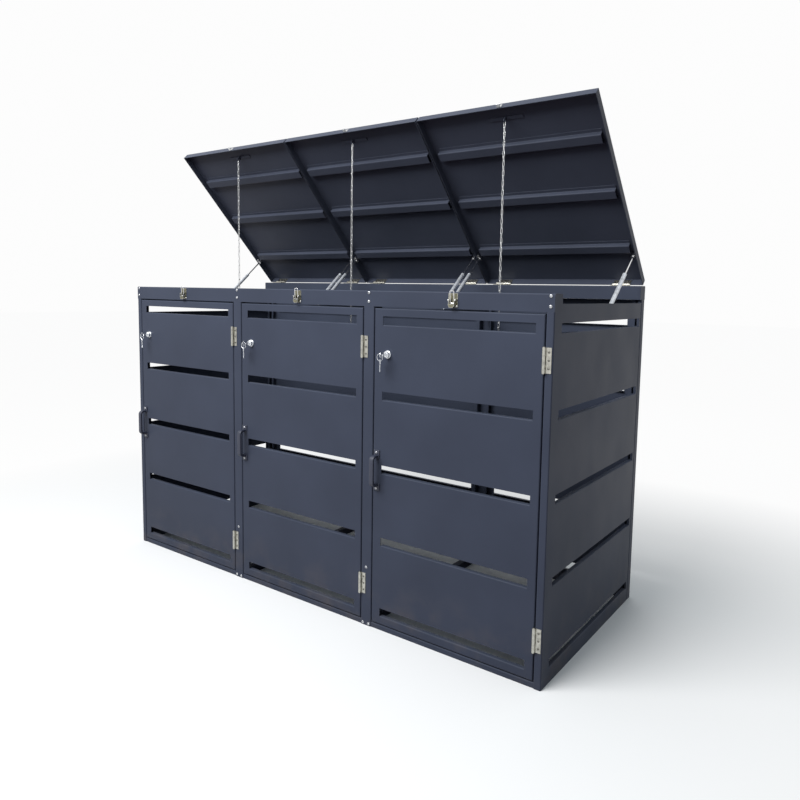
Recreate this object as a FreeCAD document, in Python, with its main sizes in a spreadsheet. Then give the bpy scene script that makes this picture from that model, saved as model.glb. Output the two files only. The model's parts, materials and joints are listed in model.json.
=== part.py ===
import FreeCAD, Part
import math
import os
import re
import Sketcher

# Three-bay bin store of folded steel sheet: slotted walls and doors, three sloping lids on gas struts.
# Millimetres, +Z up, X along the front, Y from front to back.
# The origin is the middle of the footprint on the ground, and the front faces -Y.

SIZES = {
    # bays, posts and overall depth
    "bay_opening": 634.0,
    "divider_width": 46.0,
    "corner_width": 25.0,
    "store_depth": 818.0,
    "front_ahead": 391.0,
    "sheet_gauge": 2.0,
    "bend_inside": 2.0,
    "seat_gap": 0.3,
    # front and back rails, side wall edge and sills
    "front_height": 1192.5,
    "back_rise": 35.0,
    "side_drop": 29.5,
    "rail_height": 54.0,
    "rail_depth": 55.0,
    "back_rail_height": 52.0,
    "back_rail_depth": 51.0,
    "hem_height": 6.0,
    "hem_end": 6.0,
    "sill_height": 18.0,
    "corner_seam": 35.0,
    "seam_flange": 14.0,
    "post_return": 27.0,
    "stop_lip": 12.0,
    # ties between the front and back posts
    "tie_width": 30.0,
    "low_tie_height": 30.0,
    "high_tie_height": 25.0,
    "high_tie_drop": 38.0,
    "splice_width": 36.0,
    "splice_inset": 4.5,
    "splice_drop": 4.5,
    # slots with a folded lip on the lower edge
    "slot_height": 28.8,
    "slot_pitch": 256.5,
    "slot_foot": 51.6,
    "slot_count": 5,
    "lip_depth": 15.0,
    "slot_inset_left": 36.0,
    "slot_inset_right": 28.5,
    "side_slot_front": 54.0,
    "side_slot_back": 53.0,
    # doors
    "door_gap": 3.0,
    "door_head_gap": 5.0,
    "door_foot": 22.0,
    "door_depth": 25.0,
    # butt hinges
    "knuckle_radius": 5.0,
    "knuckle_lift": 0.5,
    "hinge_bore": 2.55,
    "hinge_pin": 2.5,
    "hinge_leaf": 2.0,
    "pin_head": 3.6,
    "pin_head_height": 2.0,
    "knuckle_gap": 0.4,
    "door_hinge_length": 75.0,
    "door_hinge_low": 155.0,
    "door_hinge_high": 1000.0,
    "post_leaf_reach": 22.5,
    "door_leaf_reach": 24.0,
    "lid_hinge_length": 66.0,
    "lid_hinge_inset": 82.0,
    "rail_leaf_reach": 30.0,
    "lid_leaf_reach": 27.0,
    # lids, in their own frame: skin flat, hinge axis at the origin, front towards -Y
    "lid_gap": 6.0,
    "lid_rim": 30.0,
    "lid_front_inset": 9.1,
    "lid_axis_inset": 18.0,
    "rim_lap": 0.9,
    "rim_dip": 2.0,
    "lid_open_slope": 46.1,
    "rib_width": 36.0,
    "rib_depth": 18.0,
    "rib_foot": 12.0,
    "rib_inset": 22.0,
    "rib_back": 166.0,
    "rib_middle": 410.0,
    "rib_front": 167.0,
    # gas struts
    "strut_inset": 13.0,
    "stud_back": 140.0,
    "stud_drop": 17.0,
    "strut_foot_ahead": 312.0,
    "strut_foot_drop": 18.0,
    "ball_radius": 5.0,
    "ball_clearance": 0.06,
    "socket_radius": 6.5,
    "socket_length": 18.0,
    "socket_mouth": 4.3,
    "rod_radius": 3.5,
    "rod_length": 112.0,
    "rod_clearance": 0.06,
    "tube_radius": 7.5,
    "tube_length": 180.0,
    "tube_bore_length": 122.0,
    "tube_foot": 10.0,
    "stud_radius": 3.0,
    "stud_flange": 6.0,
    "stud_flange_gauge": 2.0,
    "stud_plate": 28.0,
    "stud_plate_height": 22.0,
    "stud_plate_gauge": 2.0,
    "bracket_gauge": 4.0,
    "bracket_length": 44.0,
    "bracket_foot": 26.0,
    # bin-lid chains
    "bar_front": 54.0,
    "bar_length": 130.0,
    "bar_width": 12.0,
    "bar_gauge": 3.0,
    "eye_drop": 17.0,
    "eye_radius": 7.0,
    "eye_hole": 4.2,
    "link_count": 27,
    "link_length": 36.0,
    "link_width": 12.0,
    "link_wire": 3.0,
    "link_slack": 0.3,
    # pull handles
    "handle_inset": 17.0,
    "handle_low": 502.0,
    "handle_high": 646.0,
    "handle_width": 25.0,
    "handle_foot": 26.0,
    "handle_foot_gauge": 4.0,
    "handle_bolt_inset": 9.0,
    "handle_reach": 34.0,
    "grip_inset": 17.0,
    "grip_width": 18.0,
    "grip_gauge": 9.0,
    "grip_bend": 8.0,
    "grip_bevel": 2.5,
    # locks and keys
    "lock_inset": 59.0,
    "lock_height": 979.0,
    "lock_rim": 13.5,
    "lock_rim_height": 3.0,
    "lock_nose": 11.0,
    "lock_nose_height": 14.0,
    "lock_barrel": 9.5,
    "lock_hole": 9.7,
    "lock_nut": 14.0,
    "lock_nut_height": 5.0,
    "plug_radius": 6.0,
    "plug_bore": 6.06,
    "plug_proud": 0.5,
    "cam_length": 58.0,
    "cam_width": 16.0,
    "cam_gauge": 3.0,
    "cam_clearance": 1.5,
    "cam_screw": 5.0,
    "cam_screw_height": 2.0,
    "key_blade": 24.0,
    "key_blade_width": 7.0,
    "key_entry": 16.0,
    "keyway_clearance": 0.15,
    "key_shoulder": 6.0,
    "key_cut_pitch": 3.2,
    "key_cut_depth": 2.4,
    "key_bow": 11.0,
    "key_hole": 4.4,
    "key_gauge": 2.2,
    "ring_radius": 12.0,
    "ring_wire": 0.9,
    # lid catches
    "catch_plate_width": 34.0,
    "catch_plate_height": 44.0,
    "catch_plate_drop": 4.0,
    "catch_gauge": 1.5,
    "catch_axis_drop": 26.5,
    "catch_axis_out": 8.0,
    "catch_ear_half": 13.0,
    "catch_ear_round": 4.0,
    "catch_pin": 1.5,
    "catch_pin_end": 8.8,
    "catch_pin_head": 2.4,
    "catch_clearance": 0.06,
    "lever_half": 11.0,
    "lever_round": 4.0,
    "lever_length": 23.0,
    "lever_tab": 6.0,
    "lever_plate_drop": 11.5,
    "lever_tab_half": 6.0,
    "loop_drop": 9.0,
    "loop_in": 1.5,
    "loop_lean": 4.5,
    "loop_wire": 1.3,
    "loop_bar": 1.5,
    "loop_half": 7.0,
    "loop_bend": 3.0,
    "loop_rise": 38.5,
    "keeper_width": 14.0,
    "keeper_height": 20.0,
    "keeper_lift": 1.0,
    "keeper_reach": 15.0,
    "keeper_gauge": 1.2,
    "keeper_bend": 0.8,
    "keeper_tip": 4.2,
    # dome-headed bolts
    "bolt_head": 5.5,
    "bolt_rise": 3.0,
    "small_bolt_head": 3.2,
    "small_bolt_rise": 1.8,
    "catch_rivet_inset": 4.5,
    "rail_bolt_high": 7.5,
    "rail_bolt_low": 37.5,
    "post_bolt_height": 215.0,
    "foot_bolt_offset": 13.0,
    "foot_bolt_height": 8.0,
}

os.makedirs("parts", exist_ok=True)
doc = FreeCAD.newDocument("bin_store")
sheet = doc.addObject("Spreadsheet::Sheet", "dims")
for row, (alias, value) in enumerate(SIZES.items(), start=1):
    sheet.set(f"A{row}", alias)
    sheet.set(f"B{row}", str(value))
    sheet.setAlias(f"B{row}", alias)
doc.recompute()

Vector = FreeCAD.Vector
Rotation = FreeCAD.Rotation
X_AXIS = Vector(1, 0, 0)
Y_AXIS = Vector(0, 1, 0)
Z_AXIS = Vector(0, 0, 1)
NAMES = re.compile(r"\b[a-z]+_[a-z_]+\b")
EDGE_TOLERANCE = 1e-4
nodes = []


def formula(text):
    """The text with every size name turned into a reference to its cell."""
    return NAMES.sub(lambda found: "dims." + found.group(0), str(text))


def size(text):
    """The present value of a formula, in millimetres or degrees."""
    return float(sheet.evalExpression(formula(text)))


def bind(thing, name, text):
    """Tie a property to the sheet."""
    thing.setExpression(name, formula(text))


# Sizes that follow from the driving ones.
HALF_WIDTH = "(1.5 * bay_opening + divider_width + corner_width)"
BAY_PITCH = "(bay_opening + divider_width)"
FRONT = "(-front_ahead)"
BACK = "(store_depth - front_ahead)"
MIDDLE = "(store_depth / 2 - front_ahead)"
RAIL_FOOT = "(front_height - rail_height)"
BACK_TOP = "(front_height + back_rise)"
BACK_FOOT = f"({BACK_TOP} - back_rail_height)"
SIDE_TOP = "(front_height - side_drop)"
DOOR_WIDTH = "(bay_opening - 2 * door_gap)"
DOOR_TOP = f"({RAIL_FOOT} - door_head_gap)"
BEND_OUTSIDE = "(bend_inside + sheet_gauge)"
AXIS_OUT = "(knuckle_radius + knuckle_lift)"
LID_AXIS_Y = f"({BACK} - lid_axis_inset)"
LID_AXIS_Z = f"({BACK_TOP} + {AXIS_OUT})"
LID_WIDTH = f"({BAY_PITCH} - lid_gap)"
HINGE_AHEAD = "(knuckle_radius + sheet_gauge - rim_lap)"
HINGE_DROP = "(lid_rim + knuckle_radius - rim_dip)"
LID_LENGTH = f"(store_depth - lid_axis_inset - lid_front_inset + {HINGE_AHEAD})"
LID_FRONT = f"({LID_LENGTH} - {HINGE_AHEAD})"
STRUT_OFFSET = f"({LID_WIDTH} / 2 - strut_inset)"
HIGH_TIE_TOP = f"({SIDE_TOP} - high_tie_drop)"
STUD_Y = f"({HINGE_AHEAD} - stud_back)"
STUD_Z = f"({HINGE_DROP} - stud_drop)"
EYE_Y = f"({HINGE_AHEAD} - {LID_LENGTH} + bar_front)"
EYE_Z = f"({HINGE_DROP} - sheet_gauge - eye_drop)"
CAM_DEPTH = "(post_return + sheet_gauge + cam_clearance)"
CATCH_AXIS_Z = "(front_height - catch_axis_drop)"
BAYS = (-1, 0, 1)
HANDS = (-1, 1)
KEY_CUTS = (1.0, 0.6, 0.85, 0.4)


def new_body(label):
    """An empty body that carries the sub-part's name."""
    body = doc.addObject("PartDesign::Body", label)
    body.Label = label
    return body


def plane(body, role):
    """One of the body's own origin planes or axes."""
    return [part for part in body.Origin.OriginFeatures if part.Role == role][0]


def new_sketch(body, role, offset="0"):
    """A sketch on an origin plane, moved along the plane's normal by offset."""
    sketch = body.newObject("Sketcher::SketchObject", "outline")
    sketch.AttachmentSupport = [(plane(body, role), "")]
    sketch.MapMode = "FlatFace"
    bind(sketch, "AttachmentOffset.Base.z", offset)
    return sketch


def arc_centre(start, end, radius, turn):
    """The centre of the short arc from start to end, turning left (1) or right (-1)."""
    chord = end - start
    half = chord.Length / 2
    rise = math.sqrt(max(radius * radius - half * half, 0.0))
    left = Vector(-chord.y, chord.x, 0)
    left.normalize()
    return start + chord * 0.5 + left * (rise * turn)


def add_loop(sketch, points, arcs=None, closed=True):
    """A loop or an open run of lines; arcs maps the number of an edge to (radius, turn)."""
    arcs = arcs or {}
    spots = [Vector(size(across), size(up), 0) for across, up in points]
    count = len(spots)
    edges = count if closed else count - 1
    first = sketch.GeometryCount
    starts = []
    ends = []
    for number in range(edges):
        begin = spots[number]
        finish = spots[(number + 1) % count]
        if number in arcs:
            radius, turn = arcs[number]
            centre = arc_centre(begin, finish, size(radius), turn)
            a, b = (begin, finish) if turn > 0 else (finish, begin)
            a_turn = math.atan2(a.y - centre.y, a.x - centre.x)
            b_turn = math.atan2(b.y - centre.y, b.x - centre.x)
            circle = Part.Circle(centre, Z_AXIS, size(radius))
            sketch.addGeometry(Part.ArcOfCircle(circle, a_turn, b_turn), False)
            starts.append(1 if turn > 0 else 2)
            ends.append(2 if turn > 0 else 1)
        else:
            sketch.addGeometry(Part.LineSegment(begin, finish), False)
            starts.append(1)
            ends.append(2)
    for number in range(edges if closed else edges - 1):
        after = (number + 1) % count
        joined = Sketcher.Constraint("Coincident", first + number, ends[number],
                                     first + after, starts[after])
        sketch.addConstraint(joined)
    for number, (across, up) in enumerate(points):
        spot = spots[number]
        edge, end = (number, starts[number]) if number < edges else (number - 1, ends[number - 1])
        for kind, text, value in (("DistanceX", across, spot.x), ("DistanceY", up, spot.y)):
            where = Sketcher.Constraint(kind, -1, 1, first + edge, end, value)
            index = sketch.addConstraint(where)
            bind(sketch, f"Constraints[{index}]", text)
    for number, (radius, _) in arcs.items():
        index = sketch.addConstraint(Sketcher.Constraint("Radius", first + number, size(radius)))
        bind(sketch, f"Constraints[{index}]", radius)
    return sketch


def add_circle(sketch, across, up, radius):
    """A circle with its centre and radius tied to the sheet."""
    centre = Vector(size(across), size(up), 0)
    number = sketch.addGeometry(Part.Circle(centre, Z_AXIS, size(radius)), False)
    for kind, text, value in (("DistanceX", across, centre.x), ("DistanceY", up, centre.y)):
        index = sketch.addConstraint(Sketcher.Constraint(kind, -1, 1, number, 3, value))
        bind(sketch, f"Constraints[{index}]", text)
    index = sketch.addConstraint(Sketcher.Constraint("Radius", number, size(radius)))
    bind(sketch, f"Constraints[{index}]", radius)
    return sketch


def rectangle(left, low, right, high):
    """The four corners of an upright rectangle, anticlockwise."""
    return [(left, low), (right, low), (right, high), (left, high)]


def slot_loop(across, low, high, radius):
    """A loop with straight sides and round ends, upright: corners and arcs."""
    left = f"({across}) - ({radius})"
    right = f"({across}) + ({radius})"
    points = [(right, low), (right, high), (across, f"({high}) + ({radius})"), (left, high),
              (left, low), (across, f"({low}) - ({radius})")]
    return points, {1: (radius, 1), 2: (radius, 1), 4: (radius, 1), 5: (radius, 1)}


def octagon(across, up, radius):
    """The eight corners of a thin wire's section."""
    corners = []
    for number in range(8):
        angle = 45 * number + 22.5
        corners.append((f"({across}) + {radius} * cos({angle})", f"({up}) + {radius} * sin({angle})"))
    return corners


def folded(points, gauge="sheet_gauge", inner="bend_inside"):
    """The outline of a sheet folded at right angles: the run of points is its right-hand face."""
    spots = [Vector(size(across), size(up), 0) for across, up in points]
    runs = []
    for begin, finish in zip(spots, spots[1:]):
        run = finish - begin
        run.normalize()
        runs.append((round(run.x), round(run.y)))
    near = []
    far = []
    outer = f"({inner} + {gauge})"
    for number, (across, up) in enumerate(points):
        before = runs[number - 1] if number > 0 else None
        after = runs[number] if number < len(runs) else None
        shift_x = sum(-run[1] for run in (before, after) if run)
        shift_y = sum(run[0] for run in (before, after) if run)
        away = (f"({across}) + ({shift_x}) * {gauge}", f"({up}) + ({shift_y}) * {gauge}")
        if before is None or after is None:
            near.append(((across, up), None))
            far.append((away, None))
            continue
        turn = before[0] * after[1] - before[1] * after[0]
        near_radius = outer if turn > 0 else inner
        far_radius = inner if turn > 0 else outer
        for line, spot, radius in ((near, (across, up), near_radius), (far, away, far_radius)):
            enter = (f"{spot[0]} - ({before[0]}) * {radius}", f"{spot[1]} - ({before[1]}) * {radius}")
            leave = (f"{spot[0]} + ({after[0]}) * {radius}", f"{spot[1]} + ({after[1]}) * {radius}")
            line.append((enter, (radius, turn)))
            line.append((leave, None))
    corners = [spot for spot, _ in near]
    arcs = {number: arc for number, (_, arc) in enumerate(near) if arc}
    back = list(reversed(far))
    for number, (spot, _) in enumerate(back):
        corners.append(spot)
        ahead = back[number + 1][1] if number + 1 < len(back) else None
        if ahead:
            arcs[len(near) + number] = (ahead[0], -ahead[1])
    return corners, arcs


def pad(body, sketch, length, kind="One side", back=False):
    """Raise a sketch: along its plane's normal, against it (back) or half to each side."""
    feature = body.newObject("PartDesign::Pad", "pad")
    feature.Profile = sketch
    feature.SideType = kind
    feature.Reversed = back
    bind(feature, "Length", length)
    doc.recompute()
    return feature


def cut(body, sketch, depth, back=False, kind="One side"):
    """Cut a sketch into the body, and check that it removed something."""
    before = body.Shape.Volume
    feature = body.newObject("PartDesign::Pocket", "pocket")
    feature.Profile = sketch
    feature.SideType = kind
    feature.Reversed = back
    bind(feature, "Length", depth)
    doc.recompute()
    if not body.Shape.Volume < before - EDGE_TOLERANCE:
        raise RuntimeError(f"{body.Label}: a pocket cuts nothing")
    return feature


def dress_edges(body, kind, measure, amount, chosen):
    """Fillet or chamfer the edges of the body's present shape for which chosen(edge) holds."""
    base = body.Tip
    names = [f"Edge{number}" for number, edge in enumerate(base.Shape.Edges, start=1) if chosen(edge)]
    if not names:
        raise RuntimeError(f"{body.Label}: no edge to dress")
    feature = body.newObject(f"PartDesign::{kind}", kind.lower())
    feature.Base = (base, names)
    bind(feature, measure, amount)
    doc.recompute()
    return feature


def round_edges(body, radius, chosen):
    """Fillet the chosen edges."""
    return dress_edges(body, "Fillet", "Radius", radius, chosen)


def bevel_edges(body, width, chosen):
    """Chamfer the chosen edges."""
    return dress_edges(body, "Chamfer", "Size", width, chosen)


def turned(body, sketch, axis_role="Z_Axis"):
    """A full revolution of a sketch about one of the body's origin axes."""
    feature = body.newObject("PartDesign::Revolution", "revolution")
    feature.Profile = sketch
    feature.ReferenceAxis = (plane(body, axis_role), [""])
    feature.Angle = 360.0
    doc.recompute()
    return feature


def repeat(body, originals, axis_role, step, count):
    """Repeat features along an origin axis."""
    feature = body.newObject("PartDesign::LinearPattern", "row")
    feature.Originals = originals
    feature.Direction = (plane(body, axis_role), [""])
    bind(feature, "Length", f"({step}) * (({count}) - 1)")
    bind(feature, "Occurrences", count)
    body.Tip = feature
    doc.recompute()
    return feature


def place(thing, across="0", along="0", up="0", rotation=None):
    """Put a sub-part in its place, with the place tied to the sheet."""
    thing.Placement = FreeCAD.Placement(Vector(), rotation or Rotation())
    bind(thing, "Placement.Base.x", across)
    bind(thing, "Placement.Base.y", along)
    bind(thing, "Placement.Base.z", up)
    return thing


def copy_of(source, across="0", along="0", up="0", rotation=None):
    """A placed copy of a finished shape."""
    link = doc.addObject("App::Link", "copy")
    link.LinkedObject = source
    return place(link, across, along, up, rotation)


def group(label, things):
    """Several loose solids under one name."""
    compound = doc.addObject("Part::Compound", label)
    compound.Label = label
    compound.Links = things
    return node(compound)


def node(thing):
    """Mark a finished object as a sub-part of the store."""
    nodes.append(thing)
    return thing


def bay_centre(bay):
    return f"({bay} * {BAY_PITCH})"


# Slots, shared by the doors, the side walls and the back panels.

def slotted(body, left, right):
    """Five slots through the front sheet of a panel, each with its lower edge folded inwards."""
    sketch = new_sketch(body, "XZ_Plane", "1")
    low = f"slot_foot - {BEND_OUTSIDE}"
    add_loop(sketch, rectangle(left, low, right, "slot_foot + slot_height"))
    slot = cut(body, sketch, "sheet_gauge + 2")
    lip = new_sketch(body, "YZ_Plane", left)
    corners = [("0", low), (BEND_OUTSIDE, "slot_foot"), ("lip_depth", "slot_foot"),
               ("lip_depth", "slot_foot - sheet_gauge"), (BEND_OUTSIDE, "slot_foot - sheet_gauge"),
               ("sheet_gauge", low)]
    add_loop(lip, list(reversed(corners)), {0: ("bend_inside", -1), 4: (BEND_OUTSIDE, 1)})
    fold = pad(body, lip, f"({right}) - ({left})")
    repeat(body, [slot, fold], "Z_Axis", "slot_pitch", "slot_count")


def tray(body, width, low, high, depth):
    """A shallow tray on edge: front sheet on Y = 0 with four folded rims behind it."""
    sketch = new_sketch(body, "XZ_Plane")
    add_loop(sketch, rectangle("0", low, width, high))
    pad(body, sketch, depth, back=True)
    inside = new_sketch(body, "XZ_Plane", "-sheet_gauge")
    add_loop(inside, rectangle("sheet_gauge", f"({low}) + sheet_gauge",
                               f"({width}) - sheet_gauge", f"({high}) - sheet_gauge"))
    cut(body, inside, depth)
    gauge = size("sheet_gauge")

    def at_depth(edge, wanted):
        ends = [vertex.Point.y for vertex in edge.Vertexes]
        return all(abs(value - wanted) < EDGE_TOLERANCE for value in ends)

    def inside_corner(edge):
        box = edge.BoundBox
        return at_depth(edge, gauge) and box.XMin > gauge / 2 and box.ZMin > size(low) + gauge / 2

    round_edges(body, "bend_inside", inside_corner)
    round_edges(body, BEND_OUTSIDE, lambda edge: at_depth(edge, 0.0))


def turned_frame(x_to, y_to, z_to):
    """The rotation that sends the axes to three given directions."""
    matrix = FreeCAD.Matrix(x_to.x, y_to.x, z_to.x, 0, x_to.y, y_to.y, z_to.y, 0,
                            x_to.z, y_to.z, z_to.z, 0, 0, 0, 0, 1)
    return FreeCAD.Placement(matrix).Rotation


def on_lid(thing, bay, across="0", along="0", up="0", rotation=None):
    """Put a piece at a place in a lid's own frame, with that lid standing open."""
    slope = "lid_open_slope"
    y_place = f"{LID_AXIS_Y} + cos({slope}) * ({along}) + sin({slope}) * ({up})"
    z_place = f"{LID_AXIS_Z} - sin({slope}) * ({along}) + cos({slope}) * ({up})"
    opened = Rotation(X_AXIS, -size(slope))
    if rotation:
        opened = opened.multiply(rotation)
    return place(thing, f"{bay_centre(bay)} + ({across})", y_place, z_place, opened)


# Static frame.

def wall_run(hand):
    """The folds of a side wall in plan, from the door stop round the corner post to the back seam."""
    back = "(store_depth - corner_seam - seat_gap)"
    run = [("post_return", "(corner_width + stop_lip)"), ("post_return", "corner_width"),
           ("0", "corner_width"), ("0", "0"), (back, "0"), (back, "seam_flange")]
    if hand < 0:
        run = [(f"(store_depth - {along})", inward) for along, inward in reversed(run)]
    return run


def side_panel(label, hand):
    """A slotted side wall; its sheet turns round the front as the corner post with the door stop."""
    body = new_body(label)
    corners, arcs = folded(wall_run(hand))
    pad(body, add_loop(new_sketch(body, "XY_Plane"), corners, arcs), SIDE_TOP)
    reach = "(corner_width + stop_lip + 1)"
    near = "0" if hand > 0 else "store_depth"
    notch = new_sketch(body, "XZ_Plane", "1")
    add_loop(notch, rectangle(f"{near} - rail_depth - seat_gap", RAIL_FOOT,
                              f"{near} + rail_depth + seat_gap", f"{SIDE_TOP} + 1"))
    cut(body, notch, f"{reach} + 1")
    behind = "(post_return + sheet_gauge + seat_gap)"
    foot = new_sketch(body, "XY_Plane")
    left, right = ("sheet_gauge", behind)
    if hand < 0:
        left, right = (f"store_depth - {behind}", "store_depth - sheet_gauge")
    add_loop(foot, rectangle(left, "sheet_gauge", right, reach))
    cut(body, foot, "sill_height + seat_gap", back=True)
    start, stop = ("rail_depth + hem_end", "store_depth - corner_seam - hem_end")
    if hand < 0:
        start, stop = (f"store_depth - ({stop})", f"store_depth - ({start})")
    hem = new_sketch(body, "XZ_Plane", "-sheet_gauge")
    add_loop(hem, rectangle(start, f"{SIDE_TOP} - hem_height", stop, SIDE_TOP))
    pad(body, hem, "sheet_gauge", back=True)
    front_edge, back_edge = "side_slot_front", "side_slot_back"
    if hand < 0:
        front_edge, back_edge = back_edge, front_edge
    slotted(body, front_edge, f"store_depth - {back_edge}")
    place(body, f"{hand} * {HALF_WIDTH}", FRONT if hand > 0 else BACK, "0", Rotation(Z_AXIS, 90 * hand))
    return node(body)


def divider_post(name, height):
    """A hat-shaped post between two bays; its feet lie over the sill and its lips stop the doors."""
    body = new_body(name)
    half = "divider_width / 2"
    run = [(f"-({half}) - stop_lip", "post_return"), (f"-({half})", "post_return"), (f"-({half})", "0"),
           (half, "0"), (half, "post_return"), (f"{half} + stop_lip", "post_return")]
    corners, arcs = folded(run)
    pad(body, add_loop(new_sketch(body, "XY_Plane"), corners, arcs), height)
    foot = new_sketch(body, "XY_Plane")
    reach = f"{half} + stop_lip + 1"
    add_loop(foot, rectangle(f"-({reach})", "sheet_gauge", reach, "post_return + sheet_gauge + 1"))
    cut(body, foot, "sill_height + seat_gap", back=True)
    return body


def back_corner_post(name, hand):
    """The folded post in a back corner: it shows on the side wall beyond the seam."""
    body = new_body(name)
    run = [("seam_flange", "corner_seam"), ("0", "corner_seam"), ("0", "0"), ("corner_width", "0"),
           ("corner_width", "post_return"), ("(corner_width + stop_lip)", "post_return")]
    run = [(f"{-hand} * {inward}", f"-{ahead}") for inward, ahead in run]
    if hand < 0:
        run = list(reversed(run))
    corners, arcs = folded(run)
    pad(body, add_loop(new_sketch(body, "XY_Plane"), corners, arcs), BACK_FOOT)
    foot = new_sketch(body, "XY_Plane")
    left, right = ("-(corner_width + stop_lip + 1)", "-sheet_gauge")
    if hand < 0:
        left, right = ("sheet_gauge", "corner_width + stop_lip + 1")
    add_loop(foot, rectangle(left, "-(post_return + sheet_gauge + seat_gap)", right, "-sheet_gauge"))
    cut(body, foot, "sill_height + seat_gap", back=True)
    return body


def rail(label, depth, height, back):
    """A folded rail over the whole width: an inverted channel with closed ends."""
    body = new_body(label)
    width = f"2 * {HALF_WIDTH}"
    outline = new_sketch(body, "YZ_Plane")
    add_loop(outline, rectangle("0", f"-{height}", depth, "0"))
    pad(body, outline, width, "Symmetric")

    def crown(edge):
        return abs(edge.BoundBox.ZMin) < EDGE_TOLERANCE and edge.BoundBox.XLength > 1.0

    round_edges(body, BEND_OUTSIDE, crown)
    cavity = new_sketch(body, "YZ_Plane")
    add_loop(cavity, rectangle("sheet_gauge", f"-{height} - 1", f"{depth} - sheet_gauge", "-sheet_gauge"))
    cut(body, cavity, f"{width} - 2 * sheet_gauge", kind="Symmetric")
    if back:
        place(body, "0", f"{BACK} - {depth}", BACK_TOP)
    else:
        place(body, "0", FRONT, "front_height")
    return node(body)


def sill(name):
    """A low folded channel between the side walls, behind the post faces."""
    body = new_body(name)
    front, back = "(sheet_gauge + seat_gap)", "(post_return + sheet_gauge)"
    corners, arcs = folded([(back, "0"), (back, "sill_height"), (front, "sill_height"), (front, "0")])
    outline = add_loop(new_sketch(body, "YZ_Plane"), corners, arcs)
    pad(body, outline, f"2 * ({HALF_WIDTH} - sheet_gauge - seat_gap)", "Symmetric")
    return body


def low_tie(name):
    """An inverted channel on the ground between the front and back sills."""
    body = new_body(name)
    half = "tie_width / 2"
    corners, arcs = folded([(half, "0"), (half, "low_tie_height"), (f"-{half}", "low_tie_height"),
                            (f"-{half}", "0")])
    outline = add_loop(new_sketch(body, "XZ_Plane"), corners, arcs)
    pad(body, outline, "store_depth - 2 * (post_return + sheet_gauge)", "Symmetric")
    return body


def high_tie(name):
    """A channel from post to post, with an upturned splice plate at each end behind the rail."""
    body = new_body(name)
    half = "tie_width / 2"
    start = "(store_depth / 2 - sheet_gauge - seat_gap)"
    corners, arcs = folded([(half, "-high_tie_height"), (half, "0"), (f"-{half}", "0"),
                            (f"-{half}", "-high_tie_height")])
    outline = add_loop(new_sketch(body, "XZ_Plane"), corners, arcs)
    pad(body, outline, f"2 * {start}", "Symmetric")
    tops = (("front_height", start), (BACK_TOP, f"sheet_gauge - {start}"))
    for top, plane_at in tops:
        splice = new_sketch(body, "XZ_Plane", plane_at)
        add_loop(splice, rectangle("-splice_width / 2", "-high_tie_height", "splice_width / 2",
                                   f"{top} - splice_drop - {HIGH_TIE_TOP}"))
        pad(body, splice, "sheet_gauge", back=True)
    return body


def corner_splice(name, top):
    """The flat plate that joins a corner post to the rail above it."""
    body = new_body(name)
    outline = new_sketch(body, "XZ_Plane")
    width = "(corner_width - sheet_gauge - 2 * splice_inset)"
    add_loop(outline, rectangle(f"-{width} / 2", "0", f"{width} / 2",
                                f"{top} - splice_drop - {HIGH_TIE_TOP} + high_tie_height"))
    pad(body, outline, "sheet_gauge", back=True)
    return body


def back_panel(label, bay):
    """A slotted panel between two back posts."""
    body = new_body(label)
    width = "(bay_opening - 2 * seat_gap)"
    tray(body, width, "sill_height + seat_gap", f"{BACK_FOOT} - seat_gap",
         "post_return - bend_inside - seat_gap")
    slotted(body, "slot_inset_left", f"{width} - slot_inset_left")
    place(body, f"{bay_centre(bay)} + {width} / 2", BACK, "0", Rotation(Z_AXIS, 180))
    return node(body)


# Butt hinges: the pin is the local Z axis, the leaf reaches along +X and lies at a set +Y.

def hinge_leaf(name, length, reach, near, knuckles):
    """A flat leaf with its share of the knuckles, each between two heights."""
    body = new_body(name)
    far = f"({near}) + hinge_leaf"
    flat = new_sketch(body, "XY_Plane")
    add_loop(flat, rectangle(AXIS_OUT, near, reach, far))
    pad(body, flat, length)
    for low, high in knuckles:
        web = new_sketch(body, "XY_Plane", low)
        add_loop(web, rectangle("0", near, f"{AXIS_OUT} + hinge_leaf", far))
        pad(body, web, f"({high}) - ({low})")
        knuckle = new_sketch(body, "XY_Plane", low)
        add_circle(knuckle, "0", "0", "knuckle_radius")
        pad(body, knuckle, f"({high}) - ({low})")
    return body


def turning_leaf(name, length, reach, near):
    """The leaf with the bored middle knuckle."""
    third = f"({length}) / 3"
    middle = [(f"{third} + knuckle_gap / 2", f"2 * {third} - knuckle_gap / 2")]
    body = hinge_leaf(name, length, reach, near, middle)
    bore = new_sketch(body, "XY_Plane")
    add_circle(bore, "0", "0", "hinge_bore")
    cut(body, bore, length, back=True)
    return body


def fixed_leaf(name, length, reach, near):
    """The leaf with the outer knuckles, which hold the pin and its two flat heads."""
    third = f"({length}) / 3"
    outer = [("0", f"{third} - knuckle_gap / 2"), (f"2 * {third} + knuckle_gap / 2", length)]
    body = hinge_leaf(name, length, reach, near, outer)
    pin = new_sketch(body, "XY_Plane")
    add_circle(pin, "0", "0", "hinge_pin")
    pad(body, pin, length)
    for low in ("-pin_head_height", length):
        head = new_sketch(body, "XY_Plane", low)
        add_circle(head, "0", "0", "pin_head")
        pad(body, head, "pin_head_height")
    return body


# Doors.

def bay_edge(bay, hand):
    """The left (-1) or right (1) edge of a bay's opening."""
    return f"({bay_centre(bay)} + {hand} * bay_opening / 2)"


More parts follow.
